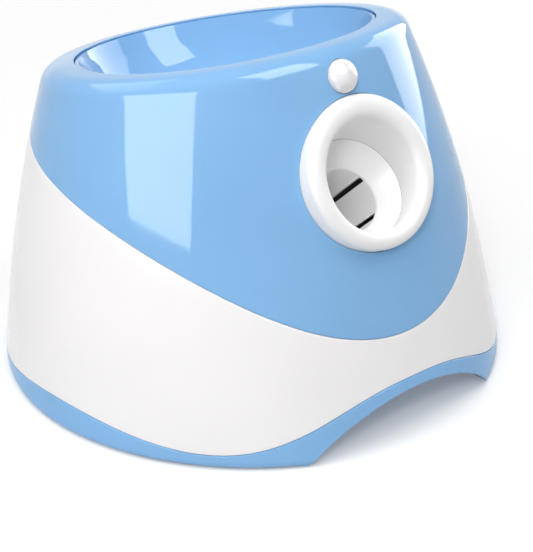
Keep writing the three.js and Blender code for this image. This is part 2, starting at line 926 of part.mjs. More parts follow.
// Launch barrel with its feed collar, guide slot and lugs
const armHalfWidth = 3.5;
const armFront = 20;
const armRear = 50;
const bumperLength = 3.4;
const slotHalfWidth = armHalfWidth + loose;
const slotFront = armFront - bumperLength - 2 * gap;
const slotRear = armRear + stroke + loose;
const lugHalfWidth = 5;
const lugRise = 34.5;
const lugLength = 12;
const screwRise = 31;
const frameLugReach = 31.2;
const frameLugs = [
  [77, 12],
  [108, 8],
];
const frameLugSize = 9;

function feedCylinder(radius, from, to) {
  return rod(radius, from, to, 28).rotateX(Math.PI / 2).translate(0, 0, feedAlong);
}

function makeBarrel() {
  const tube = rod(barrelRadius, barrelStart, barrelEnd, boreSteps);
  const socket = rod(socketRadius, socketStart, socketEnd, boreSteps);
  const collar = feedCylinder(collarRadius + collarWall, 0, collarTop);
  const capLugs = [-1, 1].map((way) => {
    const rise = [way * (barrelRadius - barrelWall / 2), way * lugRise].sort((a, b) => a - b);
    return box(
      [-lugHalfWidth, rise[0], barrelEnd - lugLength],
      [lugHalfWidth, rise[1], barrelEnd],
    );
  });
  const plateLugs = frameLugs.map(([along, above]) =>
    box(
      [boreRadius * 0.6, -above - frameLugSize, along],
      [frameLugReach, -above, along + frameLugSize],
    ),
  );
  const bore = rod(boreRadius, -overrun, barrelEnd + overrun, boreSteps);
  const socketRoom = rod(neckRadius + gap, 0, neckEnd + gap, boreSteps);
  const slot = box([0, -slotHalfWidth, slotFront], [2 * barrelRadius, slotHalfWidth, slotRear]);
  const pilots = [-1, 1].map((way) =>
    rod(screwHole, barrelEnd - lugLength - overrun, barrelEnd + overrun, screwSides).translate(
      0,
      way * screwRise,
      0,
    ),
  );
  return cut(
    join(tube, socket, collar, ...capLugs, ...plateLugs),
    bore,
    socketRoom,
    feedCylinder(collarRadius, 0, collarTop + overrun),
    slot,
    ...pilots,
  );
}
addPart(barrel, "launch_barrel", makeBarrel(), "black");

// End cap with the spring's boss
const capThickness = 4;
const capRadius = 29.5;
const capBoss = 15;
const capBossHeight = 8;
const capFace = barrelEnd + gap;

function makeEndCap() {
  const disc = rod(capRadius, capFace, capFace + capThickness, boreSteps);
  const ears = box([-lugHalfWidth, -lugRise, capFace], [lugHalfWidth, lugRise, capFace + capThickness]);
  const boss = rod(capBoss, capFace - capBossHeight, capFace + capThickness, 24);
  const hollow = rod(capBoss - wall, capFace - capBossHeight - overrun, capFace, 24);
  const holes = [-1, 1].map((way) =>
    rod(screwHole, capFace - overrun, capFace + capThickness + overrun, screwSides).translate(
      0,
      way * screwRise,
      0,
    ),
  );
  return cut(join(disc, ears, boss), hollow, ...holes);
}
addPart(barrel, "barrel_end_cap", makeEndCap(), "black");

const capScrewLength = 12;
[-1, 1].forEach((way, i) => {
  const part = addPart(barrel, `end_cap_screw_${i + 1}`, screw(capScrewLength), "steel");
  part.position.set(0, way * screwRise, capFace + capThickness + gap);
});

// Plunger: seat ring, slotted skirt and the arm that carries the rack
const plungerFront = 14;
const plungerRear = 59.5;
const plungerRadius = boreRadius - 0.4 * boreClearance;
const skirtWall = 2.2;
const seatRadius = 17.6;
const seatDepth = 10;
const plungerBack = 2.5;
const rodHole = 4;
const slitAngle = 25;
const slitWidth = 2.7;
const slitFront = 28.5;
const slitRear = 55;
const armReach = 34.2;

function makePlunger() {
  const skirt = plungerRadius - skirtWall;
  const seatBack = plungerFront + seatDepth + skirtWall / 2;
  const body = turned(
    [
      [plungerRadius - gap * 2, plungerFront],
      [plungerRadius, plungerFront + loose],
      [plungerRadius, plungerRear],
      [rodHole, plungerRear],
      [rodHole, plungerRear - plungerBack],
      [skirt, plungerRear - plungerBack],
      [skirt, seatBack + 2 * skirtWall],
      [seatRadius, seatBack],
      [seatRadius, plungerFront + seatDepth],
      [seatRadius + (plungerRadius - seatRadius) / 2, plungerFront + seatDepth * 0.56],
    ],
    boreSteps,
  );
  const arm = box(
    [skirt + skirtWall / 2, -armHalfWidth, armFront],
    [armReach, armHalfWidth, armRear],
  );
  const slits = [-1, 1].flatMap((way) =>
    [-slitAngle, slitAngle].map((turn) => {
      const slit = box(
        [skirt - overrun, -slitWidth / 2, slitFront],
        [plungerRadius + overrun, slitWidth / 2, slitRear],
      );
      return slit.rotateZ(radians(turn) + (way < 0 ? Math.PI : 0));
    }),
  );
  const pilots = rackScrewPlaces.map((along) =>
    rod(screwHole, armReach - rackScrewLength, armReach + overrun, screwSides)
      .rotateY(Math.PI / 2)
      .translate(0, 0, along),
  );
  return cut(join(body, arm), ...slits, ...pilots);
}
const rackScrewPlaces = [30, 43];
const rackScrewLength = 8.5;
addPart(barrel, "plunger", makePlunger(), "white");

// Launch spring between the plunger and the end cap
const springWire = 1.9;
const springRadius = 19;
const springTurns = 6;
const springLength = capFace - plungerRear - 2 * gap;
const launchSpring = coil(springRadius, springRadius, springTurns, springLength, springWire);
addPart(barrel, "launch_spring", launchSpring, "steel").position.z = plungerRear + gap;

// Bumper pad at the front end of the guide slot
const bumper = box(
  [boreRadius + gap, -slotHalfWidth + gap, slotFront + gap],
  [frameLugReach, slotHalfWidth - gap, slotFront + gap + bumperLength],
);
addPart(barrel, "bumper_pad", bumper, "rubber");

// Gears
const pressureAngle = 25;
const addendumShare = 0.8;
const dedendumShare = 1.1;
const backlash = 0.25;

const sectorToothSize = 1.5;
const driveToothSize = 1.2;
const wheelToothSize = 1;
const gearSizes = {
  sector: { teeth: 32, module: sectorToothSize },
  drive: { teeth: 40, module: driveToothSize },
  pinion: { teeth: 12, module: driveToothSize },
  wheel: { teeth: 36, module: wheelToothSize },
  motor: { teeth: 10, module: wheelToothSize },
};
const pitchRadius = ({ teeth, module }) => (teeth * module) / 2;
const toothPitch = ({ teeth }) => (2 * Math.PI) / teeth;

function involute(angle) {
  return Math.tan(angle) - angle;
}

function toothPoints(size, middle) {
  const pitch = pitchRadius(size);
  const base = pitch * Math.cos(radians(pressureAngle));
  const radii = [pitch - dedendumShare * size.module, pitch + addendumShare * size.module];
  const halves = radii.map((radius) => {
    const slope = radius > base ? Math.acos(base / radius) : 0;
    const half = Math.PI / (2 * size.teeth) - backlash / (2 * pitch);
    return half + involute(radians(pressureAngle)) - involute(slope);
  });
  const left = radii.map((radius, i) => [radius, middle - halves[i]]);
  const right = radii.map((radius, i) => [radius, middle + halves[i]]).reverse();
  return [...left, ...right].map(([radius, angle]) => [
    radius * Math.cos(angle),
    radius * Math.sin(angle),
  ]);
}

function gearOutline(size, phase) {
  const points = [];
  for (let i = 0; i < size.teeth; i += 1) {
    points.push(...toothPoints(size, phase + i * toothPitch(size)));
  }
  return outlineOf(points);
}

// A gear whose first teeth only are cut, and the rest of its rim is plain
function sectorOutline(size, first, count, plain) {
  const points = [];
  for (let i = 0; i < count; i += 1) {
    points.push(...toothPoints(size, first + i * toothPitch(size)));
  }
  const from = first + (count - 0.5) * toothPitch(size);
  const to = first + 2 * Math.PI - 0.5 * toothPitch(size);
  for (let i = 0; i <= 20; i += 1) {
    const angle = from + ((to - from) * i) / 20;
    points.push([plain * Math.cos(angle), plain * Math.sin(angle)]);
  }
  return outlineOf(points);
}

// Phase that puts a gap of the second gear at the first gear's tooth
function meshPhase(firstSize, firstPhase, towards, secondSize) {
  const offset = (towards - firstPhase) / toothPitch(firstSize);
  const share = offset - Math.floor(offset);
  return towards + Math.PI - (0.5 - share) * toothPitch(secondSize);
}

// Gearbox layout in the side frame
const sectorAlong = 84;
const pitchLine = 8;
const rackDepth = 6.5;
const rackX = armReach + gap;
const driveCentre = lineAt(sectorAlong, pitchLine + pitchRadius(gearSizes.sector));
const reductionDirection = radians(-20);
const motorDirection = radians(-15);

function beside([y, z], first, second, direction) {
  const distance = pitchRadius(first) + pitchRadius(second);
  return [y + distance * Math.cos(direction), z + distance * Math.sin(direction)];
}
const reductionCentre = beside(driveCentre, gearSizes.drive, gearSizes.pinion, reductionDirection);
const motorCentre = beside(reductionCentre, gearSizes.wheel, gearSizes.motor, motorDirection);

const plateX = frameLugReach + gap;
const plateWall = 2;
const sectorX = rackX;
const sectorWidth = 6.5;
const driveX = sectorX + sectorWidth + loose;
const driveWidth = 5.5;
const wheelX = driveX + driveWidth + 1.6 * loose;
const wheelWidth = 4;
const coverX = wheelX + wheelWidth + 2.5;
const shaftRadius = 3;
const axleRadius = 2;
const motorShaftRadius = 1.6;

const rackFront = 24;
const rackRear = 92;

function makeRack() {
  const pitch = Math.PI * gearSizes.sector.module;
  const tip = pitchLine + addendumShare * gearSizes.sector.module;
  const root = pitchLine - dedendumShare * gearSizes.sector.module;
  const slope = Math.tan(radians(pressureAngle));
  const half = pitch / 4 - backlash / 2;
  const points = [
    [rackFront, -armHalfWidth],
    [rackFront, root],
  ];
  const first = Math.ceil((rackFront + pitch / 2 - sectorAlong) / pitch - 0.5);
  const last = Math.floor((rackRear - pitch / 2 - sectorAlong) / pitch - 0.5);
  for (let i = first; i <= last; i += 1) {
    const middle = sectorAlong + (i + 0.5) * pitch;
    const rootHalf = half + (pitchLine - root) * slope;
    const tipHalf = half - (tip - pitchLine) * slope;
    points.push([middle - rootHalf, root], [middle - tipHalf, tip]);
    points.push([middle + tipHalf, tip], [middle + rootHalf, root]);
  }
  points.push([rackRear, root], [rackRear, -armHalfWidth]);
  const holes = rackScrewPlaces.map((along) =>
    shift(rod(screwHole, rackX - overrun, rackX + rackDepth + overrun, screwSides), along, 0, 0),
  );
  const bar = cut(prism(outlineOf(points), rackX, rackX + rackDepth), ...holes);
  return bar.applyMatrix4(
    new THREE.Matrix4().makeBasis(
      new THREE.Vector3(0, 0, 1),
      new THREE.Vector3(0, -1, 0),
      new THREE.Vector3(1, 0, 0),
    ),
  );
}
addPart(barrel, "drive_rack", makeRack(), "gearNylon");

rackScrewPlaces.forEach((along, i) => {
  const length = rackDepth + 3 * gap + rackScrewLength - 2 * loose;
  const part = addPart(barrel, `rack_screw_${i + 1}`, screw(length), "steel");
  part.rotation.y = Math.PI / 2;
  part.position.set(rackX + rackDepth + gap, 0, along);
});

// Drive train
const rackDirection = -Math.PI / 2 - launch;
const sectorTeeth = 14;
const sectorPlain = 20.5;
const driveHole = shaftRadius + running;

function makeSector() {
  const first = rackDirection - (sectorTeeth - 2) * toothPitch(gearSizes.sector);
  const shape = sectorOutline(gearSizes.sector, first, sectorTeeth, sectorPlain);
  return prism(roundHole(shape, 0, 0, driveHole), 0, sectorWidth, 10);
}
addPart(side, "sector_gear", makeSector(), "gearNylon").position.set(...driveCentre, sectorX);

const driveOutline = roundHole(gearOutline(gearSizes.drive, 0), 0, 0, driveHole);
const driveGear = prism(driveOutline, 0, driveWidth, 10);
addPart(side, "drive_gear", driveGear, "gearNylon").position.set(...driveCentre, driveX);

const driveShaft = rod(shaftRadius, plateX - 2 * gap, coverX + plateWall + 2 * gap, 16);
addPart(side, "drive_shaft", driveShaft, "steel").position.set(...driveCentre, 0);

function makeReduction() {
  const phase = meshPhase(gearSizes.drive, 0, reductionDirection, gearSizes.pinion);
  const pinion = prism(gearOutline(gearSizes.pinion, phase), driveX, wheelX);
  const wheel = prism(gearOutline(gearSizes.wheel, 0), wheelX, wheelX + wheelWidth);
  const hole = rod(axleRadius + running, 0, coverX, 24);
  return cut(join(pinion, wheel), hole);
}
addPart(side, "reduction_gear", makeReduction(), "gearNylon").position.set(...reductionCentre, 0);

const reductionAxle = rod(axleRadius, plateX - 2 * gap, coverX + plateWall + 2 * gap, 14);
addPart(side, "reduction_axle", reductionAxle, "steel").position.set(...reductionCentre, 0);

const motorRadius = 17.9;
const motorLength = 50;
const motorBoss = 5;
const motorBossHeight = 2.6;
const motorFace = plateX - gap;
const motorShaftDepth = 9;

const motorPinionPhase = meshPhase(gearSizes.wheel, 0, motorDirection, gearSizes.motor);
const motorPinion = join(
  prism(gearOutline(gearSizes.motor, motorPinionPhase), wheelX - gap, wheelX + wheelWidth + gap),
  rod(motorShaftRadius, motorFace - motorShaftDepth, wheelX + wheelWidth, 12),
);
addPart(side, "motor_pinion", motorPinion, "steel").position.set(...motorCentre, 0);

function makeMotor() {
  const bore = motorShaftRadius + gap;
  const depth = motorFace - motorShaftDepth - gap;
  return turned(
    [
      [0, motorFace - motorLength],
      [motorRadius - wall, motorFace - motorLength],
      [motorRadius, motorFace - motorLength + wall],
      [motorRadius, motorFace],
      [motorBoss, motorFace],
      [motorBoss, motorFace + motorBossHeight],
      [bore, motorFace + motorBossHeight],
      [bore, depth],
      [0, depth],
    ],
    24,
  );
}
addPart(side, "drive_motor", makeMotor(), "steel").position.set(...motorCentre, 0);

// Gearbox plates: outlines stretched round circles
const plateSides = 12;
function hullOutline(circles) {
  const points = circles.flatMap(([y, z, radius]) =>
    Array.from({ length: plateSides }, (_, i) => {
      const angle = (2 * Math.PI * i) / plateSides;
      return [y + radius * Math.cos(angle), z + radius * Math.sin(angle)];
    }),
  );
  points.sort((a, b) => a[0] - b[0] || a[1] - b[1]);
  const turn = (o, a, b) => (a[0] - o[0]) * (b[1] - o[1]) - (a[1] - o[1]) * (b[0] - o[0]);
  const half = (list) => {
    const chain = [];
    for (const point of list) {
      while (chain.length > 1 && turn(chain.at(-2), chain.at(-1), point) <= 0) chain.pop();
      chain.push(point);
    }
    return chain.slice(0, -1);
  };
  return outlineOf([...half(points), ...half(points.reverse())]);
}

const polar = ([y, z], radius, turn) => [
  y + radius * Math.cos(radians(turn)),
  z + radius * Math.sin(radians(turn)),
];
const pillarRadius = 4;
const pillarReaches = [31, 24, 24];
const pillarTurns = [150, 74, -112];
const pillars = [driveCentre, reductionCentre, reductionCentre].map((centre, i) =>
  polar(centre, pillarReaches[i], pillarTurns[i]),
);
const frameRound = 12;
const coverRound = 9;
const pillarEnd = coverX - gap;
const footStart = 6;
const footEnd = 22;
const footFlange = 9;
const footFlangeWall = 3;

function frameOutline() {
  return hullOutline([
    [...driveCentre, frameRound],
    [...motorCentre, motorRadius + wall],
    ...pillars.map((place) => [...place, pillarRadius + wall]),
  ]);
}

function makeFrame() {
  const plate = prism(frameOutline(), plateX, plateX + plateWall);
  const low = baseFloor + gap;
  const leg = prism(
    hullOutline([
      [...pillars[2], pillarRadius],
      [footStart + plateWall, low + plateWall, plateWall],
      [footEnd - plateWall, low + plateWall, plateWall],
    ]),
    plateX,
    plateX + plateWall,
  );
  const flange = prism(
    outlineOf([
      [footStart, low],
      [footEnd, low],
      [footEnd, low + footFlangeWall],
      [footStart, low + footFlangeWall],
    ]),
    plateX,
    plateX + footFlange,
  );
  const posts = pillars.map(([y, z]) =>
    shift(rod(pillarRadius, plateX, pillarEnd, 14), y, z, 0),
  );
  const through = (radius, [y, z]) =>
    shift(rod(radius, plateX - overrun, plateX + plateWall + overrun, 24), y, z, 0);
  const pilots = pillars.map(([y, z]) =>
    shift(rod(screwHole, pillarEnd - frameScrewLength, pillarEnd + overrun, screwSides), y, z, 0),
  );
  return cut(
    join(plate, leg, flange, ...posts),
    through(shaftRadius + running, driveCentre),
    through(axleRadius + running, reductionCentre),
    through(motorBoss + gap, motorCentre),
    ...pilots,
  );
}
const frameScrewLength = 10;
addPart(side, "gearbox_frame", makeFrame(), "grey");

function makeCover() {
  const shape = hullOutline([
    [...driveCentre, coverRound],
    [...reductionCentre, coverRound],
    ...pillars.map((place) => [...place, pillarRadius + wall]),
  ]);
  roundHole(shape, ...driveCentre, shaftRadius + running);
  roundHole(shape, ...reductionCentre, axleRadius + running);
  pillars.forEach((place) => roundHole(shape, ...place, screwHole));
  return prism(shape, coverX, coverX + plateWall, 10);
}
addPart(side, "gearbox_cover", makeCover(), "grey");

pillars.forEach((place, i) => {
  const length = frameScrewLength - loose;
  const part = addPart(side, `gearbox_screw_${i + 1}`, screw(length), "steel");
  part.position.set(...place, coverX + plateWall + gap);
});

// Limit switch on the frame's leg, where the drawn rack ends
const switchLength = 14;
const switchHeight = 9;
const switchWidth = 6.5;
const switchX = plateX + plateWall + gap;
const switchFront = 5;
const switchTop = 24;
const leverThickness = 0.6;
const leverHalfWidth = 2.2;
const leverRise = 1.5;

const switchBody = box(
  [switchFront, switchTop - switchHeight, switchX],
  [switchFront + switchLength, switchTop, switchX + switchWidth],
);
addPart(side, "limit_switch", switchBody, "black");
const leverEnd = switchFront + switchLength - leverThickness;
const lever = prism(
  outlineOf([
    [switchFront, switchTop + leverRise],
    [leverEnd, switchTop + gap],
    [leverEnd, switchTop + gap + leverThickness],
    [switchFront, switchTop + leverRise + leverThickness],
  ]),
  switchX + switchWidth / 2 - leverHalfWidth,
  switchX + switchWidth / 2 + leverHalfWidth,
);
addPart(side, "limit_lever", lever, "steel");

// Cradle under the barrel
const cradleHalfWidth = 26;
const cradleCheek = 4;
const cradleFrom = 84;
const cradleTo = 112;
const cradleRise = -11;

function makeCradle() {
  const low = baseFloor + gap;
  const front = lineAt(cradleFrom, cradleRise);
  const rear = lineAt(cradleTo, cradleRise);
  const under = lineAt(cradleTo, -barrelRadius - overrun);
  const shape = outlineOf([
    [front[0] - barrelRadius, low],
    [under[0], low],
    under,
    rear,
    front,
    [front[0] - barrelRadius, low + barrelRadius],
  ]);
  const block = prism(shape, -cradleHalfWidth, cradleHalfWidth);
  const room = box(
    [-barrelEnd, low + cradleCheek, cradleCheek - cradleHalfWidth],
    [barrelEnd, barrelEnd, cradleHalfWidth - cradleCheek],
  );
  const saddle = rod(barrelRadius + gap, 0, barrelEnd + overrun, boreSteps);
  return cut(inFrame(cut(block, room), side), inFrame(saddle, barrel));
}
addPart(launcher, "barrel_cradle", makeCradle(), "grey");

// Rear controls
launcher.add(panelFrame, inletFrame);
const buttonRadius = 7;
const buttonProud = 1.2;
const buttonFlange = 1.2;
const buttonFlangeTop = -panelInner - 3 * gap;
const buttonAcross = 18;
const buttonRise = -2;
const lightRadius = 1.6;
const lightProud = 0.4;
const lightSpacing = 6;
const lightRise = 8;
const panelPosts = [-13.5, 14.5];
const controlBoardTop = -12;

function panelCut(geometry) {
  return inFrame(geometry, panelFrame);
}
const buttonFrames = [-1, 1].map((way) => {
  const angle = Math.PI + (way * buttonAcross) / sectionRadius(Math.PI, panelHeight);
  return surfaceFrame(angle, panelHeight + buttonRise);
});
launcher.add(...buttonFrames);

function makePanel() {
  const plug = panelPatch(0, 0, panelProud, panelInner - gap);
  const flange = panelPatch(flangeArc, panelFlange, panelSeat, panelInner);
  const posts = panelPosts.map((rise) =>
    panelCut(rod(lightRadius + loose, controlBoardTop + gap, -panelSeat, 10).translate(0, rise, 0)),
  );
  const buttonHoles = buttonFrames.map((frame) =>
    inFrame(rod(buttonRadius + gap, -4 * wall, wall, 20), frame),
  );
  const lightHoles = [-1, 0, 1].map((step) =>
    panelCut(rod(lightRadius + gap, -4 * wall, wall, 12).translate(step * lightSpacing, lightRise, 0)),
  );
  return cut(join(plug, flange, ...posts), ...buttonHoles, ...lightHoles);
}
addPart(launcher, "control_panel", makePanel(), "pearl");

function makeButton() {
  const edge = loose;
  return turned(
    [
      [0, buttonProud],
      [buttonRadius - edge, buttonProud],
      [buttonRadius, buttonProud - edge],
      [buttonRadius, buttonFlangeTop],
      [buttonRadius + 2 * loose, buttonFlangeTop],
      [buttonRadius + 2 * loose, buttonFlangeTop - buttonFlange],
      [0, buttonFlangeTop - buttonFlange],
    ],
    24,
  );
}
addPart(buttonFrames[0], "power_button", makeButton(), "grey");
addPart(buttonFrames[1], "distance_button", makeButton(), "grey");

[-1, 0, 1].forEach((step, i) => {
  const light = rod(lightRadius, controlBoardTop + gap, lightProud, 12);
  addPart(panelFrame, `range_light_${i + 1}`, light, "clear").position.set(
    step * lightSpacing,
    lightRise,
    0,
  );
});

const controlBoardHalf = [26, 17];
const controlBoard = box(
  [-controlBoardHalf[0], -controlBoardHalf[1], controlBoardTop - boardThickness],
  [controlBoardHalf[0], controlBoardHalf[1], controlBoardTop],
);
addPart(panelFrame, "control_board", controlBoard, "board");
const keyHalf = 3;
const keyHeight = 1.8;
["power_switch", "distance_switch"].forEach((name, i) => {
  const way = 2 * i - 1;
  const key = box([-keyHalf, -keyHalf, 0], [keyHalf, keyHalf, keyHeight]);
  const across = buttonAcross - keyHalf / 2;
  addPart(panelFrame, name, key, "black").position.set(
    way * across,
    buttonRise,
    controlBoardTop + gap,
  );
});

const inletLip = -0.3;
const inletFlangeTop = -3.6;
const inletFlangeWall = 1.5;
const inletFlangeReach = 2.5;
const inletFloor = -10;
const inletEnd = -13;
const inletBore = 3.2;
const inletPin = 1;
const inletPinTop = -2.5;

function makeInlet() {
  const flangeRadius = inletRadius + inletFlangeReach;
  const flangeBack = inletFlangeTop - inletFlangeWall;
  return turned(
    [
      [0, inletPinTop],
      [inletPin, inletPinTop],
      [inletPin, inletFloor],
      [inletBore, inletFloor],
      [inletBore, inletLip],
      [inletRadius, inletLip],
      [inletRadius, inletFlangeTop],
      [flangeRadius, inletFlangeTop],
      [flangeRadius, flangeBack],
      [inletRadius, flangeBack],
      [inletRadius, inletEnd],
      [0, inletEnd],
    ],
    16,
  );
}
addPart(inletFrame, "dc_jack", makeInlet(), "black");

// Main board, buzzer and leads
const mainBoard = box(
  [boardLow[0], boardLow[1], boardHeight],
  [boardHigh[0], boardHigh[1], boardHeight + boardThickness],
);
addPart(launcher, "main_board", mainBoard, "board");
const boardTop = boardHeight + boardThickness;
const buzzerRadius = 11;
const buzzerHeight = 6;
const buzzerInset = 18;
const buzzerPlace = [boardLow[0] + buzzerInset, boardHigh[1] - buzzerInset];
const buzzer = rod(buzzerRadius, boardTop + gap, boardTop + gap + buzzerHeight, 24);
addPart(launcher, "buzzer", buzzer, "black").position.set(...buzzerPlace, 0);

const leadRadius = 1.5;
function leadAlong(places, steps) {
  const run = new THREE.CatmullRomCurve3(places.map((place) => new THREE.Vector3(...place)));
  const section = new THREE.Shape().absarc(0, 0, leadRadius, 0, 2 * Math.PI, false);
  return closed(new THREE.ExtrudeGeometry(section, { steps, curveSegments: 3, extrudePath: run }));
}
const leadTop = boardTop + gap + leadRadius;
const motorPad = [10, 34];
const batteryPad = [12, 8];
const sensorPad = [28, 11];
const motorLeadShares = [
  [0, 0, 0],
  [0.28, 0, 0.05],
  [0.62, 0.41, 0.485],
  [0.85, 0.84, 0.805],
  [1, 1, 1],
];
const batteryLeadShares = [
  [0, 0, 0],
  [0.3, 0, 0],
  [0.7, 0.38, 0.43],
  [1, 1, 1],
];
const batteryLeadAlong = 33;
const batteryLeadHeight = 20;

function placesBetween(start, end, shares) {
  return shares.map((share) => start.map((from, i) => from + (end[i] - from) * share[i]));
}
const motorLeadPlaces = placesBetween(
  [motorFace - motorLength - loose, ...motorCentre],
  [boardHigh[0] - motorPad[0], boardHigh[1] - motorPad[1], leadTop],
  motorLeadShares,
);
const batteryLeadPlaces = placesBetween(
  [-bayHalfX - wall - loose, bayFront + batteryLeadAlong, batteryLeadHeight],
  [boardHigh[0] - batteryPad[0], boardHigh[1] - batteryPad[1], leadTop],
  batteryLeadShares,
);

// The sensor's lead hangs between the bowl and the shell: turn from the front, depth, drop
const sensorLeadTurns = [-3.85, -10.5, -22.4, -34.8, -53.4];
const sensorLeadDepths = [17.4, 23.2, 20.8, 21.3, 26.5];
const sensorLeadDrops = [9.2, 15.8, 26.8, 50.8, 100.8];
const sensorLeadBend = [16, 12.6];
const sensorLeadPlaces = [
  ...sensorLeadTurns.map((turn, i) => {
    return bodyPoint(radians(turn), sensorLeadDepths[i], sensorHeight - sensorLeadDrops[i]).toArray();
  }),
  [boardLow[0] + sensorPad[0], boardLow[1] + sensorPad[1] - sensorLeadBend[0], leadTop + sensorLeadBend[1]],
  [boardLow[0] + sensorPad[0], boardLow[1] + sensorPad[1], leadTop],
];
addPart(launcher, "motor_lead", leadAlong(motorLeadPlaces, 12), "lead");
addPart(launcher, "sensor_lead", leadAlong(sensorLeadPlaces, 16), "lead");
addPart(launcher, "battery_lead", leadAlong(batteryLeadPlaces, 8), "lead");

// The origin sits under the middle of the footprint
const footprintShift = 3.79;
launcher.position.y = -footprintShift;

export default launcher;
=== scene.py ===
from math import atan2, cos, degrees, exp, pi, radians, sin, tan

import bmesh
import bpy
from mathutils import Matrix, Vector


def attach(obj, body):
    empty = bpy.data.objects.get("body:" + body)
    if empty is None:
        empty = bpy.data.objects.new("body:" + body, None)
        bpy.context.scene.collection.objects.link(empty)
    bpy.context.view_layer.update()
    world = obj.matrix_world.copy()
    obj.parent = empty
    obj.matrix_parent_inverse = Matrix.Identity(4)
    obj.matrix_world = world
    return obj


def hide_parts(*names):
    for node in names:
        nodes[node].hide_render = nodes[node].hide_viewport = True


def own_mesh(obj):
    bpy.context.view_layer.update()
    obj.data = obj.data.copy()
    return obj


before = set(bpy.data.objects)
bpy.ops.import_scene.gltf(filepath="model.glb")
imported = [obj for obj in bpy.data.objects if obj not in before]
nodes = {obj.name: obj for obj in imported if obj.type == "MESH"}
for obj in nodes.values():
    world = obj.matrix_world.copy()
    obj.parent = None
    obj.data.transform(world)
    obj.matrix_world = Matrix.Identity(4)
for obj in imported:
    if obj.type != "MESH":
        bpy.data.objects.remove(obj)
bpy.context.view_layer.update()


def pick(sizes, keys):
    return [sizes[key] for key in keys.split()]


# Pieces are drawn in millimetres and then placed in the frame
footprintShift = 3.79
place = Matrix.Scale(0.001, 4) @ Matrix.Translation((0, -footprintShift, 0))

view = {
    "azimuth": 39.612, "elevation": 27.765, "distance": 890.46, "across": 7.32, "height": 35.859,
    "lens": 107.2, "film": 36, "reach": 30,
}


def newObject(name, data):
    made = bpy.data.objects.new(name, data)
    bpy.context.scene.collection.objects.link(made)
    return made


def makeCamera():
    turn, lift = radians(view["azimuth"]), radians(view["elevation"])
    ahead = Vector((sin(turn) * cos(lift), cos(turn) * cos(lift), -sin(lift)))
    right = Vector((cos(turn), -sin(turn), 0))
    target = right * view["across"] + Vector((0, 0, view["height"]))
    camera = newObject("camera", bpy.data.cameras.new("camera"))
    camera.matrix_world = Matrix((right, right.cross(ahead), -ahead)).transposed().to_4x4()
    camera.location = place @ (target - ahead * view["distance"])
    camera.data.lens = view["lens"]
    camera.data.sensor_width = view["film"]
    camera.data.clip_end = view["reach"]
    bpy.context.scene.camera = camera


makeCamera()
print("camera set")


# Materials: moulded plastics, rubber and metals

def newMaterial(name):
    material = bpy.data.materials.new(name)
    material.use_nodes = True
    return material, material.node_tree, material.node_tree.nodes["Principled BSDF"]


# Capitalised settings are inputs of the node, the others are its own values
def setUp(node, **settings):
    for key, value in settings.items():
        if key[0].isupper():
            node.inputs[key.replace("_", " ")].default_value = value
        else:
            setattr(node, key, value)


def addNode(tree, kind, **settings):
    node = tree.nodes.new(kind)
    node.location = (-260 * len(tree.nodes), 0)
    setUp(node, **settings)
    return node


def link(tree, source, node, socket):
    tree.links.new(source, node.inputs[socket])


def objectPlace(tree):
    return addNode(tree, "ShaderNodeTexCoord").outputs["Object"]


def noiseOver(tree, source, size, detail, roughness=0.5):
    sizes = {"Scale": 1000.0 / size, "Detail": detail, "Roughness": roughness}
    noise = addNode(tree, "ShaderNodeTexNoise", **sizes)
    link(tree, source, noise, "Vector")
    return noise.outputs["Fac"]


def rangeOf(tree, source, low, high, fromLow=0.3, fromHigh=0.7):
    ends = {"From_Min": fromLow, "From_Max": fromHigh, "To_Min": low, "To_Max": high}
    span = addNode(tree, "ShaderNodeMapRange", **ends)
    link(tree, source, span, "Value")
    return span.outputs["Result"]


# One operation on two values, each a number or the output of a node
def worked(tree, operation, *values):
    node = addNode(tree, "ShaderNodeMath", operation=operation)
    for i, value in enumerate(values):
        if isinstance(value, float):
            node.inputs[i].default_value = value
        else:
            link(tree, value, node, i)
    return node.outputs[0]


def tintBetween(tree, source, first, second):
    ramp = addNode(tree, "ShaderNodeValToRGB")
    for element, position, color in zip(ramp.color_ramp.elements, (0.35, 0.65), (first, second)):
        element.position, element.color = position, (*color, 1)
    link(tree, source, ramp, "Fac")
    return ramp.outputs["Color"]


def bumpFrom(tree, source, depth, after=None):
    bump = addNode(tree, "ShaderNodeBump", Distance=depth * 0.001, Strength=1.0)
    link(tree, source, bump, "Height")
    if after:
        link(tree, after, bump, "Normal")
    return bump.outputs["Normal"]


def scaled(color, factor):
    return tuple(min(1.0, channel * factor) for channel in color)


# Gloss plastic: even colour, a long soft flow mottle and the faint ripple of a polished mould
def glossPlastic(name, color, rough, variation=0.025, ripple=0.02, flowSize=60.0, shine=0.3):
    material, tree, shader = newMaterial(name)
    where = objectPlace(tree)
    flow = noiseOver(tree, where, flowSize, 3.0)
    tint = tintBetween(tree, flow, scaled(color, 1 - variation), scaled(color, 1 + variation))
    link(tree, tint, shader, "Base Color")
    handled = noiseOver(tree, where, 14.0, 6.0, 0.65)
    link(tree, rangeOf(tree, handled, rough * 0.85, rough * 1.25), shader, "Roughness")
    wave = bumpFrom(tree, noiseOver(tree, where, 9.0, 1.0), ripple)
    grain = bumpFrom(tree, noiseOver(tree, where, 0.7, 2.0), 0.0012, wave)
    link(tree, grain, shader, "Normal")
    setUp(shader, IOR=1.5, Specular_IOR_Level=shine)
    return material


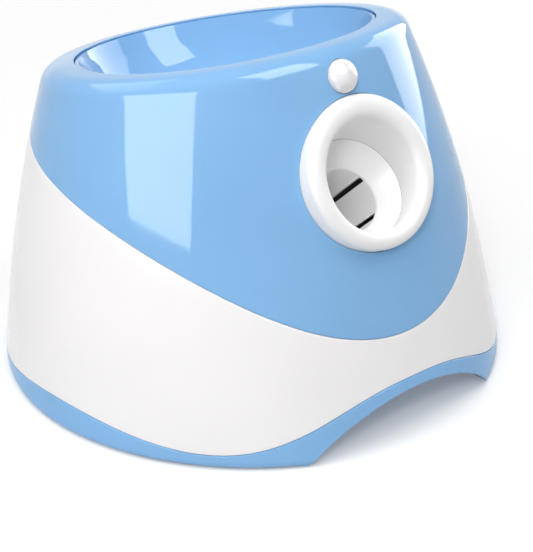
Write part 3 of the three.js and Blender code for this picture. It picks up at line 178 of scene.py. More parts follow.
# Grainy surfaces: matte plastic with spark-eroded grain, or metal with drawn grain and tarnish
def grainSurface(name, color, rough=0.5, grain=0.03, grainSize=0.6, variation=0.06, metal=False):
    material, tree, shader = newMaterial(name)
    where = objectPlace(tree)
    cloud = noiseOver(tree, where, 10.0, 5.0, 0.6) if metal else noiseOver(tree, where, 24.0, 4.0)
    light = scaled(color, 1 if metal else 1 + variation)
    link(tree, tintBetween(tree, cloud, scaled(color, 1 - variation), light), shader, "Base Color")
    fine = noiseOver(tree, where, grainSize, 4.0 if metal else 3.0, 0.7)
    smooth, coarse = (0.7, 1.4) if metal else (0.85, 1.15)
    link(tree, rangeOf(tree, fine, rough * smooth, min(1, rough * coarse)), shader, "Roughness")
    link(tree, bumpFrom(tree, fine, grain), shader, "Normal")
    setUp(shader, Metallic=1.0 if metal else 0.0)
    return material


def worksMetal(name, color, rough=0.28):
    return grainSurface(name, color, rough, 0.004, 0.9, 0.1, True)


# Circuit board: green resin over a faint weave, with lighter track lines
def boardResin(name, color):
    material, tree, shader = newMaterial(name)
    where = objectPlace(tree)
    squares = {"Color1": (*color, 1), "Color2": (*scaled(color, 0.88), 1)}
    weave = addNode(tree, "ShaderNodeTexChecker", Scale=2000.0, **squares)
    link(tree, where, weave, "Vector")
    tracks = addNode(tree, "ShaderNodeTexBrick", Scale=120.0, Mortar_Size=0.06)
    link(tree, where, tracks, "Vector")
    blend = addNode(tree, "ShaderNodeMix", data_type="RGBA")
    link(tree, tracks.outputs["Fac"], blend, 0)
    link(tree, weave.outputs["Color"], blend, 6)
    blend.inputs[7].default_value = (*scaled(color, 1.8), 1)
    link(tree, blend.outputs[2], shader, "Base Color")
    link(tree, bumpFrom(tree, tracks.outputs["Fac"], 0.03), shader, "Normal")
    setUp(shader, Roughness=0.35)
    return material


pearl = (0.74, 0.73, 0.75)
satin = {"variation": 0.006, "ripple": 0.004}
finishes = {
    "skyBlue": glossPlastic("skyBlueGloss", (0.212, 0.425, 0.7), rough=0.06, shine=0.14),
    "shellWhite": glossPlastic("shellWhiteGloss", (0.8, 0.785, 0.79), rough=0.16, variation=0.012),
    "bezelWhite": glossPlastic("bezelWhiteSatin", (0.785,) * 3, rough=0.36, **satin),
    # The plunger is white plastic like the shells, drawn lighter than them as painted light for its
    # deep bore, which the lamps hardly reach
    "plungerWhitePaintedBright": glossPlastic("plungerWhiteSatin", (0.87,) * 3, rough=0.4, **satin),
    "pearl": glossPlastic("pearlLens", pearl, rough=0.22, variation=0.07, flowSize=3.4),
    "panelPearl": grainSurface("panelPearl", pearl, rough=0.38, grain=0.01, variation=0.01),
    "black": grainSurface("blackMoulding", (0.012, 0.012, 0.014), rough=0.48),
    "grey": grainSurface("greyMoulding", (0.26, 0.275, 0.29), rough=0.5),
    "nylon": grainSurface("gearNylon", (0.76, 0.74, 0.66), rough=0.42, grain=0.008),
    "rubber": grainSurface("footRubber", (0.022, 0.022, 0.024), rough=0.85, grain=0.05),
    "steel": worksMetal("zincSteel", (0.62, 0.62, 0.63)),
    "springSteel": worksMetal("springSteel", (0.5, 0.49, 0.47), rough=0.32),
    "board": boardResin("boardResin", (0.02, 0.16, 0.06)),
    "sleeve": grainSurface("wireSleeve", (0.02, 0.02, 0.022), rough=0.4, grain=0.004),
    "clearTint": glossPlastic("lightPipe", (0.72, 0.8, 0.66), rough=0.12),
}
print("finishes:", len(finishes))


# Outer form of the body, the same law as the solids
body = {
    "radius": 134.8, "reference": 200, "taper": 0.178, "bow": 0.232, "lean": 21.9, "leanBow": 2.2,
    "wall": 2.4, "gap": 0.3,
    # Turns, amount and growth with height of the oval, triangle and square in the plan
    "waves": ((2, -0.004, -0.009), (3, 0, -0.0315), (4, 0.005, -0.001)),
}
wall, gap = body["wall"], body["gap"]
rim = {
    "height": 168.4, "middle": 18, "tilt": 12.4, "crownSpan": 100, "crownAcross": 2.7,
    "crownAlong": 4.4, "width": 15, "shoulderHeight": 7, "shoulderWidth": 8, "lipDrop": 5,
}


def sectionRadius(angle, height):
    share = height / body["reference"]
    form = 1 + sum(
        (amount + growth * share) * cos(turns * angle) for turns, amount, growth in body["waves"]
    )
    return body["radius"] * (1 - body["taper"] * share - body["bow"] * share * share) * form


def sectionDepth(height):
    share = height / body["reference"]
    return body["lean"] * share + body["leanBow"] * share * share


def bodyPoint(angle, inset, height):
    radius = sectionRadius(angle, height) - inset
    return Vector((radius * sin(angle), sectionDepth(height) - radius * cos(angle), height))


def rimSurface(x, y):
    along = y - rim["middle"]
    side, back = x / rim["crownSpan"], along / rim["crownSpan"]
    crown = rim["crownAcross"] * side**2 + rim["crownAlong"] * back**2
    return rim["height"] - tan(radians(rim["tilt"])) * along - crown


def rimAt(angle, inset):
    height = rim["height"]
    for _ in range(12):
        point = bodyPoint(angle, inset, height)
        height = rimSurface(point.x, point.y)
    return height


seam = {"front": 53.5, "rear": 122}
band = {
    "low": 4.4,
    # Height, middle, spread and power of each wave, in degrees
    "waves": ((32, 0, 30, 2.4), (16, 84, 27, 2), (16, 180, 25, 2)),
}


def foldAngle(angle):
    return (angle + pi) % (2 * pi) - pi


def seamAt(angle):
    return seam["front"] + (seam["rear"] - seam["front"]) * (1 - exp(-foldAngle(angle) ** 2))


def bandAt(angle):
    turn, low = abs(degrees(foldAngle(angle))), band["low"]
    waves = (
        (high - low) * exp(-((abs(turn - middle) / spread) ** power))
        for high, middle, spread, power in band["waves"]
    )
    return sum(waves, low)


# Frames of the mouth, the barrel, the gearbox side and places on the body
launch = {"tilt": 43, "depth": -89.4, "height": 125.3, "bore": 26.3}
bezel = {
    "tilt": 28.2, "depth": -88.4, "height": 127.8, "radius": 38, "skirt": 9, "crest": 5.2,
    "lipRadius": 27.5, "lipDrop": 1.7, "neck": 28.2, "neckEnd": 13.4, "steps": 160,
    # How far in, how high and how much lowered each step of the roll is
    "roll": (
        (0, 0.3, 0), (0.02, 0.52, 0), (0.08, 0.72, 0), (0.18, 0.88, 0.05), (0.32, 0.97, 0.15),
        (0.5, 1, 0.4), (0.68, 0.96, 0.7), (0.82, 0.84, 0.9), (0.92, 0.62, 1), (0.98, 0.32, 1),
        (1, 0, 1),
    ),
}


def frameOf(origin, across, up, out):
    matrix = Matrix((across, up, out)).transposed().to_4x4()
    matrix.translation = origin
    return matrix


def leaning(origin, tilt):
    out = Vector((0, -cos(radians(tilt)), sin(radians(tilt))))
    return frameOf(origin, Vector((1, 0, 0)), out.cross(Vector((1, 0, 0))), out)


bezelFrame = leaning((0, bezel["depth"], bezel["height"]), bezel["tilt"])
mouthFrame = leaning((0, launch["depth"], launch["height"]), launch["tilt"])
barrelFrame = mouthFrame @ Matrix.Rotation(pi, 4, "X")
sideFrame = frameOf((0, 0, 0), (0, 1, 0), (0, 0, 1), (1, 0, 0))


def surfaceFrame(angle, height):
    turn = wall / body["radius"]
    across = bodyPoint(angle + turn, 0, height) - bodyPoint(angle - turn, 0, height)
    up = bodyPoint(angle, 0, height + wall) - bodyPoint(angle, 0, height - wall)
    out = across.cross(up).normalized()
    across.normalize()
    return frameOf(bodyPoint(angle, 0, height), across, out.cross(across), out)


# Rounds an outline. Each corner is (a, b, roundness, divisions of the side after it).
def rounded(corners, arc=4, loop=True):
    filled = [(Vector(corner[:2]), *corner[2:], *(0, 1)[len(corner) - 2 :]) for corner in corners]
    points, count = [], len(filled)
    for i, (here, roundness, parts) in enumerate(filled):
        before, (after, nextRound, _) = filled[i - 1][0], filled[(i + 1) % count]
        if roundness:
            back, on = before - here, after - here
            start = here + back.normalized() * min(roundness, 0.45 * back.length)
            end = here + on.normalized() * min(roundness, 0.45 * on.length)
            for k in range(arc + 1):
                share, rest = k / arc, 1 - k / arc
                points.append(start * rest**2 + here * 2 * share * rest + end * share**2)
        else:
            points.append(here)
        if i + 1 == count and not loop:
            break
        stop = after + (here - after).normalized() * min(nextRound, 0.45 * (after - here).length)
        for k in range(1, parts):
            points.append(points[-1] + (stop - points[-1]) / (parts - k + 1))
    return points


def skin(rings, closeLoop=True, closeRings=True):
    mesh = bmesh.new()
    grid = [[mesh.verts.new(point) for point in ring] for ring in rings]
    count, size = len(grid), len(grid[0])
    for i in range(count if closeRings else count - 1):
        here, ahead = grid[i], grid[(i + 1) % count]
        for k in range(size if closeLoop else size - 1):
            up = (k + 1) % size
            mesh.faces.new((here[k], ahead[k], ahead[up], here[up]))
    bmesh.ops.remove_doubles(mesh, verts=mesh.verts, dist=0.002)
    bmesh.ops.dissolve_degenerate(mesh, edges=mesh.edges, dist=0.0005)
    bmesh.ops.recalc_face_normals(mesh, faces=mesh.faces)
    return mesh


def turned(profile, sides):
    rings = []
    for i in range(sides):
        angle = 2 * pi * i / sides
        rings.append([Vector((r * cos(angle), r * sin(angle), h)) for r, h in profile])
    return skin(rings, profile[0][0] > 0)


def prism(outline, low, high):
    mesh = bmesh.new()
    bottom = [mesh.verts.new((x, y, low)) for x, y in outline]
    top = [mesh.verts.new((x, y, high)) for x, y in outline]
    mesh.faces.new(bottom)
    mesh.faces.new(top)
    for i in range(len(outline)):
        k = (i + 1) % len(outline)
        mesh.faces.new((bottom[i], bottom[k], top[k], top[i]))
    bmesh.ops.recalc_face_normals(mesh, faces=mesh.faces)
    return mesh


def circle(radius, sides):
    turns = [2 * pi * i / sides for i in range(sides)]
    return [(radius * cos(turn), radius * sin(turn)) for turn in turns]


def rod(radius, low, high, sides, matrix):
    return cutter(prism(circle(radius, sides), low, high), matrix)


def block(low, high, matrix=None):
    (left, near, bottom), (right, far, top) = low, high
    corners = [(left, near), (right, near), (right, far), (left, far)]
    return cutter(prism(corners, bottom, top), matrix)


def plate(halfWide, halfTall, corner, low, high):
    ways = ((-1, -1), (1, -1), (1, 1), (-1, 1))
    return prism(rounded([(x * halfWide, y * halfTall, corner) for x, y in ways], 8), low, high)


def at(x, y, z=0):
    return Matrix.Translation((x, y, z))


def around(steps):
    return [-pi + 2 * pi * i / steps for i in range(steps)]


def pieceOf(name, mesh, matrix=None):
    if matrix:
        mesh.transform(matrix)
    mesh.transform(place)
    data = bpy.data.meshes.new(name)
    mesh.to_mesh(data)
    mesh.free()
    return newObject(name, data)


def lofted(name, ringAt, steps, matrix=None, closeLoop=True):
    return pieceOf(name, skin([ringAt(angle) for angle in around(steps)], closeLoop), matrix)


def applied(piece):
    graph = bpy.context.evaluated_depsgraph_get()
    old, piece.data = piece.data, bpy.data.meshes.new_from_object(piece.evaluated_get(graph))
    piece.modifiers.clear()
    bpy.data.meshes.remove(old)


def combine(piece, others, operation="DIFFERENCE"):
    for other in others:
        modifier = piece.modifiers.new("cut", "BOOLEAN")
        modifier.object = other
        modifier.operation = operation
        modifier.solver = "MANIFOLD"
    applied(piece)
    for other in others:
        bpy.data.objects.remove(other)
    return piece


def cutter(mesh, matrix=None):
    return pieceOf("cutter", mesh, matrix)


def shade(piece, sharpAngle):
    mesh = bmesh.new()
    mesh.from_mesh(piece.data)
    limit = radians(sharpAngle)
    for face in mesh.faces:
        face.smooth = True
    for edge in mesh.edges:
        edge.smooth = len(edge.link_faces) == 2 and edge.calc_face_angle(0) < limit
    mesh.to_mesh(piece.data)
    mesh.free()


def settle(piece, finish, slotName, *replaced, bodyName="housing", sharpAngle=32):
    shade(piece, sharpAngle)
    piece.data.materials.clear()
    piece.data.materials.append(finishes[finish])
    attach(piece, bodyName)
    if replaced:
        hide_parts(*replaced)


# Upper shell
upper = {
    "steps": 200, "levels": 26, "rollSteps": 12, "edgeRound": 0.5, "mouthHole": 38.3,
    "mouthReach": (-40, 12), "sensorHole": 8.6, "sensorReach": (-9, 9),
}
sensor = {"height": 170.8, "radius": 8.3, "rise": 5.6, "skirt": 7.5, "wall": 1.2}
sensorFrame = surfaceFrame(0, sensor["height"])


def upperRing(angle):
    edge = seamAt(angle) + gap / 2
    top = rimAt(angle, 0)
    shoulder = top - rim["shoulderHeight"]
    rollEnd = rimAt(angle, rim["shoulderWidth"])
    lip = rimAt(angle, rim["width"])
    inner = rim["width"] - wall
    corners = [(0, edge, upper["edgeRound"], upper["levels"]), (0, shoulder)]
    for k in range(1, upper["rollSteps"] + 1):
        share = k / upper["rollSteps"]
        start = (1 - share) ** 2 * shoulder + 2 * share * (1 - share) * top
        corners.append((rim["shoulderWidth"] * share * share, start + share * share * rollEnd))
    corners[-1] = (*corners[-1], 0, 4)
    corners += [
        (rim["width"], lip, 0.8), (rim["width"], lip - rim["lipDrop"], 0.3),
        (inner, lip - rim["lipDrop"], 0.3), (inner, lip - wall, 0.5),
        (rim["shoulderWidth"], rollEnd - wall, 2), (wall, shoulder - wall, 2, 12),
        (wall, edge, 0.3),
    ]
    return [bodyPoint(angle, inset, height) for inset, height in rounded(corners)]


def makeUpperShell():
    piece = lofted("upperShell", upperRing, upper["steps"])
    mouth = rod(upper["mouthHole"], *upper["mouthReach"], 128, bezelFrame)
    eye = rod(upper["sensorHole"], *upper["sensorReach"], 64, sensorFrame)
    return combine(piece, [mouth, eye])


settle(makeUpperShell(), "skyBlue", "sky_blue_plastic", "upper_shell")
print("upper shell made")

# Places on the rear and the screws that hold the base
panel = {
    "height": 80, "halfTall": 18, "halfWide": 30, "corner": 4, "proud": 0.2, "flange": 3,
    "seat": 3.3, "inner": 4.7, "posts": (-13.5, 14.5), "boardTop": -12, "window": (-12, 9),
    "holes": (-9.6, 3),
}
inlet = {
    "height": 38, "radius": 5.5, "bore": 3.2, "lip": -0.3, "flange": 8,
    "flangeEnds": (-3.6, -5.1), "end": -13, "hole": (-10, 10), "pin": 1, "pinEnds": (-2.5, -10.2),
}
bosses = {
    "turns": (-62, 62, -128, 128), "inset": 14, "radius": 4.5, "low": 8, "high": 34, "ribLow": 16,
    "ribWall": 2, "hole": 1.8, "head": 3.0,
}
panelFrame = surfaceFrame(pi, panel["height"])
inletFrame = surfaceFrame(pi, inlet["height"])


def bossPlace(turn):
    return bodyPoint(radians(turn), bosses["inset"], 3.6)


# Lower shell
lower = {"levels": 26, "tongue": 4, "tongueWall": 2}
shellCoreSteps = 120


def tongueCorners(high):
    inset, top = wall + gap, high + lower["tongue"]
    inner = inset + lower["tongueWall"]
    return [(0, high, 0.5), (inset, high, 0.2), (inset, top, 0.4), (inner, top, 0.4)]


def lowerRing(angle):
    low, high = bandAt(angle) + gap / 2, seamAt(angle) - gap / 2
    inside = high - lower["tongue"]
    corners = [
        (0, low, 0.5, lower["levels"]), *tongueCorners(high),
        (wall + gap + lower["tongueWall"], inside, 0.4),
        (wall, inside - lower["tongue"], 0, 12), (wall, low, 0.3),
    ]
    return [bodyPoint(angle, offset, height) for offset, height in rounded(corners)]


def axisPoint(height):
    return Vector((0, sectionDepth(height), height))


def shellCore(inset, low, high, parts=6):
    rings = []
    for angle in around(shellCoreSteps):
        ring = [bodyPoint(angle, inset, low + (high - low) * k / parts) for k in range(parts + 1)]
        rings.append([axisPoint(low), *ring, axisPoint(high)])
    return cutter(skin(rings, False))


def makeLowerShell():
    shell = lofted("lowerShell", lowerRing, upper["steps"])
    high, half = bosses["high"], bosses["ribWall"] / 2
    for turn in bosses["turns"]:
        spot = bossPlace(turn)
        there = at(spot.x, spot.y)
        aim = there @ Matrix.Rotation(atan2(-spot.x, spot.y), 4, "Z")
        post = rod(bosses["radius"], bosses["low"], high, 40, there)
        rib = block((-half, 0, bosses["ribLow"]), (half, bosses["inset"], high), aim)
        combine(post, [rib], "UNION")
        combine(post, [shellCore(wall / 2, 1, high + 1)], "INTERSECT")
        combine(shell, [post], "UNION")
        combine(shell, [rod(bosses["hole"], 0, high - wall, 32, there)])
    sizes = panel["halfWide"] + gap, panel["halfTall"] + gap, panel["corner"]
    window = cutter(plate(*sizes, *panel["window"]), panelFrame)
    hole = rod(inlet["radius"] + gap, *inlet["hole"], 64, inletFrame)
    return combine(shell, [window, hole])


settle(makeLowerShell(), "shellWhite", "white_plastic", "lower_shell")
print("lower shell made")

# Base tray
base = {
    "lift": 1, "floor": 3.6, "edge": 3, "archHalfWidth": 62, "archHeight": 26.8,
    "archPower": 0.85, "archBack": -70, "archSteps": 64, "counterbore": 3.8, "counterTop": 3.3,
    "postTop": 7.7, "below": -3,
}
bay = {
    "halfX": 54, "front": 27, "rear": 107.4, "top": 30.2, "row": 26.8, "doorLow": 1.2,
    "doorTop": 3.4,
}
foot = {
    "turns": (-48, 48, -140, 140), "circle": 108, "radius": 9, "height": 2.2, "edge": 0.7,
    "dish": 5.4, "dishDeep": 0.5, "recess": 1.5,
}
board = {"low": (-112, -25), "high": (-62, 42), "height": 12, "post": 3}


def footPlace(turn):
    return (foot["circle"] * sin(radians(turn)), -foot["circle"] * cos(radians(turn)))


def baseRing(angle):
    lift, edge = base["lift"], base["edge"]
    corners = [
        (edge, lift, 1.2), (edge * 0.25, lift + edge * 0.25, 0.8), (0, lift + edge, 0.8, 4),
        *tongueCorners(bandAt(angle) - gap / 2),
        (wall + gap + lower["tongueWall"], base["floor"], 0.6),
    ]
    ring = [bodyPoint(angle, offset, height) for offset, height in rounded(corners, 4, False)]
    return [axisPoint(base["lift"]), *ring, axisPoint(base["floor"])]


def archOutline(grow):
    points = []
    for i in range(base["archSteps"] + 1):
        share = -cos(pi * i / base["archSteps"])
        height = (base["archHeight"] + grow) * max(0, 1 - share * share) ** base["archPower"]
        points.append((share * (base["archHalfWidth"] + grow), height))
    side, below = base["archHalfWidth"] + grow, base["below"]
    return [*points, (side, below), (-side, below)]


def archPrism(grow, back):
    toFront = frameOf((0, back, 0), (1, 0, 0), (0, 0, 1), (0, -1, 0))
    return cutter(prism(archOutline(grow), 0, back + body["radius"] + 4), toFront)


def makeBase():
    tray = lofted("baseTray", baseRing, upper["steps"], closeLoop=False)
    lining = archPrism(wall, base["archBack"] + wall)
    combine(lining, [shellCore(wall / 2, 1, 32, 1)], "INTERSECT")
    lift, floor, post = base["lift"], base["lift"] + wall, board["post"]
    half, front, rear, top = pick(bay, "halfX front rear top")
    room = block((-half - wall, front - wall, lift), (half + wall, rear + wall, top + wall))
    added, cuts = [lining, room], []
    for x in (board["low"][0] + post, board["high"][0] - post):
        for y in (board["low"][1] + post, board["high"][1] - post):
            added.append(rod(post, floor, board["height"] - gap, 32, at(x, y)))
    for turn in bosses["turns"]:
        there = at(*bossPlace(turn)[:2])
        added.append(rod(bosses["radius"], floor, base["postTop"], 40, there))
        cuts.append(rod(bosses["hole"], 0, base["postTop"] + 4, 32, there))
        cuts.append(rod(base["counterbore"], 0, base["counterTop"], 48, there))
    for turn in foot["turns"]:
        cuts.append(rod(foot["radius"] + gap, 0, lift + foot["recess"], 64, at(*footPlace(turn))))
    combine(tray, added, "UNION")
    hollow = block((-half, front, base["below"]), (half, rear, top))
    return combine(tray, [archPrism(0, base["archBack"]), hollow, *cuts])


settle(makeBase(), "skyBlue", "sky_blue_plastic", "base_tray")
print("base tray made")

# Hopper bowl and throat
hopper = {
    "steps": 180, "wall": 2.2, "drop": 1, "flange": 5, "feed": 55.7, "throat": 28,
    "collarTop": 36, "throatFront": 46, "throatRear": 60,
    "inShares": (0, 0.1, 0.22, 0.42, 0.7, 1), "downShares": (0, 0.35, 0.62, 0.8, 0.92, 1),
}


def smoothAlong(points, parts):
    made = []
    padded = [points[0] * 2 - points[1], *points, points[-1] * 2 - points[-2]]
    for i in range(1, len(padded) - 2):
        a, b, c, d = padded[i - 1 : i + 3]
        for k in range(parts):
            t = k / parts
            bend = (2 * a - 5 * b + 4 * c - d) * t * t
            made.append(0.5 * (2 * b + (c - a) * t + bend + (3 * b - a - 3 * c + d) * t**3))
    return [*made, points[-1]]


def throatPoint(angle, radius, above):
    along = hopper["feed"] - radius * cos(angle)
    return barrelFrame @ Vector((radius * sin(angle), -above, along))


def hopperRing(angle):
    wall, seat = hopper["wall"], rim["width"] + gap
    inner = seat + wall
    edge = bodyPoint(angle, inner, rimAt(angle, inner) - hopper["drop"])
    front, rear = pick(hopper, "throatFront throatRear")
    rise = front + (rear - front) * (1 - cos(angle)) / 2
    throat = throatPoint(angle, hopper["throat"], rise)
    bowl = []
    for across, down in zip(hopper["inShares"], hopper["downShares"]):
        point = edge.lerp(throat, across)
        point.z = edge.z + (throat.z - edge.z) * down
        bowl.append(point)
    inside = smoothAlong(bowl, 6)
    outwards = Vector((sin(angle), -cos(angle), 0))
    outside = []
    for i, point in enumerate(inside):
        slope = (inside[min(i + 1, len(inside) - 1)] - inside[max(i - 1, 0)]).normalized()
        side = (outwards - slope * outwards.dot(slope)).normalized()
        outside.append(point + side * wall)
    top = rimAt(angle, rim["width"]) - rim["lipDrop"] - gap
    end = hopper["collarTop"] + gap
    return [
        *inside,
        *[throatPoint(angle, hopper["throat"], rise + (end - rise) * k / 4) for k in range(1, 5)],
        throatPoint(angle, hopper["throat"] + wall, end),
        throatPoint(angle, hopper["throat"] + wall, rise - wall), *outside[6:-1][::-1],
        bodyPoint(angle, seat, top - wall), bodyPoint(angle, seat - hopper["flange"], top - wall),
        bodyPoint(angle, seat - hopper["flange"], top), bodyPoint(angle, seat, top),
        bodyPoint(angle, seat, rimAt(angle, seat) - hopper["drop"] - 0.6),
        bodyPoint(angle, seat + 0.6, rimAt(angle, seat) - hopper["drop"]),
    ]


hopperPiece = lofted("hopperBowl", hopperRing, hopper["steps"])
settle(hopperPiece, "skyBlue", "sky_blue_plastic", "hopper", sharpAngle=40)
print("hopper made")

# Mouth bezel: a rounded ring lofted down to the round bore
def bezelPoint(angle, radius, rise, drop=0.0):
    return bezelFrame @ Vector((radius * sin(angle), radius * cos(angle) - drop, rise))


def borePoint(angle, radius, along):
    return barrelFrame @ Vector((radius * sin(angle), -radius * cos(angle), along))


def bezelRing(angle):
    radius, crest, lip, skirt = pick(bezel, "radius crest lipRadius skirt")
    bore, (neck, end, fall) = launch["bore"] + 0.05, pick(bezel, "neck neckEnd lipDrop")
    face = [
        bezelPoint(angle, radius + (lip - radius) * inset, crest * rise, fall * share)
        for inset, rise, share in bezel["roll"]
    ]
    start = max((barrelFrame.inverted() @ face[-1]).z + 3, 3)
    boreTop = borePoint(angle, bore, start + 3)
    return [
        bezelPoint(angle, radius, -skirt), bezelPoint(angle, radius, -skirt * 0.5),
        bezelPoint(angle, radius, 0), *face, *(face[-1].lerp(boreTop, k / 5) for k in range(1, 6)),
        borePoint(angle, bore, end), borePoint(angle, neck, end),
        borePoint(angle, neck, start + 3.2),
        bezelPoint(angle, lip + 2.4, -2.2, fall),
        bezelPoint(angle, radius - 6, crest - 2.6, fall * 0.4),
        bezelPoint(angle, radius - 2.6, crest * 0.3), bezelPoint(angle, radius - 2.4, -skirt),
    ]


bezelPiece = lofted("mouthBezel", bezelRing, bezel["steps"])
settle(bezelPiece, "bezelWhite", "white_plastic", "nozzle_bezel", sharpAngle=50)
print("bezel made")

# Motion sensor lens
def makeLens():
    radius, rise, thick, skirt = pick(sensor, "radius rise wall skirt")
    turns = [pi / 2 * k / 16 for k in range(17)]
    dome = [(radius * sin(turn), rise * cos(turn)) for turn in turns]
    share = (radius - thick) / radius
    inside = [(r * share, h - thick) for r, h in reversed(dome)]
    profile = [*dome, (radius, -skirt), (radius - thick, -skirt), *inside]
    return pieceOf("sensorLens", turned(profile, 64), sensorFrame)


settle(makeLens(), "pearl", "pearl_plastic", "sensor_lens")
print("sensor lens made")

# Plunger: a concave seat round a smaller hole, a slotted sleeve, a guide ring and four guide pads
plunger = {
    "front": 13.45, "rear": 59.5, "radius": 26.25, "ringWall": 2.2, "ringDepth": 14,
    "padDepth": 4.5, "padHalf": 4, "padReach": (17.5, 25.85), "hole": 16.5, "holeDrop": 2,
    "seatDepth": 9.6, "sleeveWall": 2, "slotPlaces": (-5.7, 13.9), "slotReach": (8, 20),
    "slotWidth": 2.7, "slotEnds": (24.2, 56.8), "arm": (25.2, 34.2, 3.5, 20, 50),
    "web": (17.4, 28, 3.5, 31, 50),
}


def plungerRing(angle):
    front, rear, radius, hole = pick(plunger, "front rear radius hole")
    sleeve, ring = hole + plunger["sleeveWall"], radius - plunger["ringWall"]
    edge, back = front + plunger["seatDepth"], front + plunger["ringDepth"]
    profile = [
        (radius, front), (radius, back), (ring, back),
        (ring, edge - 1, 1.0), (sleeve, edge + 2.6, 0.8), (sleeve, rear, 0.6), (4, rear, 0.3),
        (4, rear - 2.5, 0.3), (hole, rear - 2.5, 1.0), (hole, edge + 0.4, 0.4),
        (hole + 0.5, edge - 0.5, 0.4), (hole + 4.6, edge - 4.6, 3.0),
        (ring + 1.2, front + 0.9, 1.6),
    ]
    points = []
    for reach, along in rounded(profile, 6):
        lower = plunger["holeDrop"] * min(1, max(0, (radius - reach) / (radius - sleeve)))
        points.append(Vector((reach * cos(angle), reach * sin(angle) + lower, along)))
    return points


def makePlunger():
    piece = lofted("plungerCup", plungerRing, 144, barrelFrame)
    bars = [
        block((low, -half, near), (high, half, far), barrelFrame)
        for low, high, half, near, far in (plunger["arm"], plunger["web"])
    ]
    half, rear, (low, high) = pick(plunger, "padHalf rear padReach")
    for k in range(4):
        turn = barrelFrame @ Matrix.Rotation(pi / 2 * k, 4, "Z")
        bars.append(block((low, -half, rear - plunger["padDepth"]), (high, half, rear), turn))
    combine(piece, bars, "UNION")
    slots, half, (near, far) = [], plunger["slotWidth"] / 2, plunger["slotEnds"]
    for spot in plunger["slotPlaces"]:
        for way in (-1, 1):
            low, high = sorted(way * reach for reach in plunger["slotReach"])
            slots.append(block((low, spot - half, near), (high, spot + half, far), barrelFrame))
    return combine(piece, slots)


settle(makePlunger(), "plungerWhitePaintedBright", "white_plastic", "plunger", bodyName="plunger", sharpAngle=40)
print("plunger made")

# Launch barrel: tube, neck socket, feed collar, lugs and the long slot of the drive arm
barrel = {
    "wall": 2.2, "front": 13.7, "rear": 124, "socket": (30.5, 10.5, 19, 28.5),
    "collar": (27.2, 29.4, 36, 55.7), "slot": (4.1, 16, 100.6, 57), "lugReach": 31.2, "lugSize": 9,
    "lugs": ((77, 12), (108, 8)), "pilot": 1.8, "pilotPlace": 31, "ears": (5, 34.5, 112),
}


def makeBarrel():
    bore, front, rear = launch["bore"], barrel["front"], barrel["rear"]
    wide, near, far, room = barrel["socket"]
    inner, outer, top, along = barrel["collar"]
    feed = barrelFrame @ frameOf((0, 0, along), (1, 0, 0), (0, 0, 1), (0, -1, 0))
    mesh = prism(circle(bore + barrel["wall"], 120), front, rear)
    tube = pieceOf("launchBarrel", mesh, barrelFrame)
    socket = rounded([(0, near), (wide, near, 0.6), (wide, far, 0.8), (0, far)], 5, False)
    adds = [cutter(turned(socket, 120), barrelFrame), rod(outer, 0, top, 120, feed)]
    half, reach, start = barrel["ears"]
    for way in (-1, 1):
        low, high = sorted((way * bore * 1.04, way * reach))
        adds.append(block((-half, low, start), (half, high, rear), barrelFrame))
    size, reach = barrel["lugSize"], barrel["lugReach"]
    for spot, above in barrel["lugs"]:
        low, high = (bore * 0.6, -above - size, spot), (reach, -above, spot + size)
        adds.append(block(low, high, barrelFrame))
    combine(tube, adds, "UNION")
    half, low, high, reach = barrel["slot"]
    cuts = [
        rod(bore, near - 1, rear + 1, 120, barrelFrame),
        rod(room, near - 1, front, 120, barrelFrame),
        rod(inner, 0, top + 1, 120, feed),
        block((0, -half, low), (reach, half, high), barrelFrame),
    ]
    for way in (-1, 1):
        there = barrelFrame @ at(0, way * barrel["pilotPlace"])
        cuts.append(rod(barrel["pilot"], start - 1, rear + 1, 32, there))
    return combine(tube, cuts)


settle(makeBarrel(), "black", "black_plastic", "launch_barrel")
print("launch barrel made")

# Rear panel, buttons, range lights and power inlet
buttons = {
    "across": 18, "rise": -2, "radius": 7, "proud": 1.2, "flange": 8.2,
    "flangeEnds": (-5.6, -6.8),
}
lights = {"radius": 1.6, "proud": 0.4, "spacing": 6, "rise": 8, "low": -11.7}


def bodyPatch(halfWide, low, high, outer, inner):
    span = halfWide / sectionRadius(pi, panel["height"])
    rings = []
    for i in range(49):
        angle = pi + span * (2 * i / 48 - 1)
        ring = [bodyPoint(angle, outer, low + (high - low) * k / 12) for k in range(13)]
        ring += [bodyPoint(angle, inner, high + (low - high) * k / 12) for k in range(13)]
        rings.append(ring)
    mesh = skin(rings, closeRings=False)
    bmesh.ops.holes_fill(mesh, edges=[edge for edge in mesh.edges if edge.is_boundary])
    bmesh.ops.recalc_face_normals(mesh, faces=mesh.faces)
    return mesh


def buttonFrame(way):
    angle = pi + way * buttons["across"] / sectionRadius(pi, panel["height"])
    return surfaceFrame(angle, panel["height"] + buttons["rise"])


def makePanel():
    wide, tall, grow, seat = pick(panel, "halfWide halfTall flange seat")
    low, high = panel["height"] - tall, panel["height"] + tall
    patch = bodyPatch(wide + 4, low - 4, high + 4, -panel["proud"], panel["inner"] - gap)
    plug = pieceOf("controlPanel", patch)
    window = cutter(plate(wide, tall, panel["corner"], *panel["window"]), panelFrame)
    combine(plug, [window], "INTERSECT")
    added = [cutter(bodyPatch(wide + grow, low - grow, high + grow, seat, panel["inner"]))]
    for rise in panel["posts"]:
        there = panelFrame @ at(0, rise)
        added.append(rod(lights["radius"] + 0.6, panel["boardTop"] + gap, -seat, 32, there))
    combine(plug, added, "UNION")
    holes = [rod(buttons["radius"] + gap, *panel["holes"], 80, buttonFrame(way)) for way in (-1, 1)]
    for step in (-1, 0, 1):
        there = panelFrame @ at(step * lights["spacing"], lights["rise"])
        holes.append(rod(lights["radius"] + gap, *panel["holes"], 40, there))
    return combine(plug, holes)


settle(makePanel(), "panelPearl", "pearl_plastic", "control_panel")


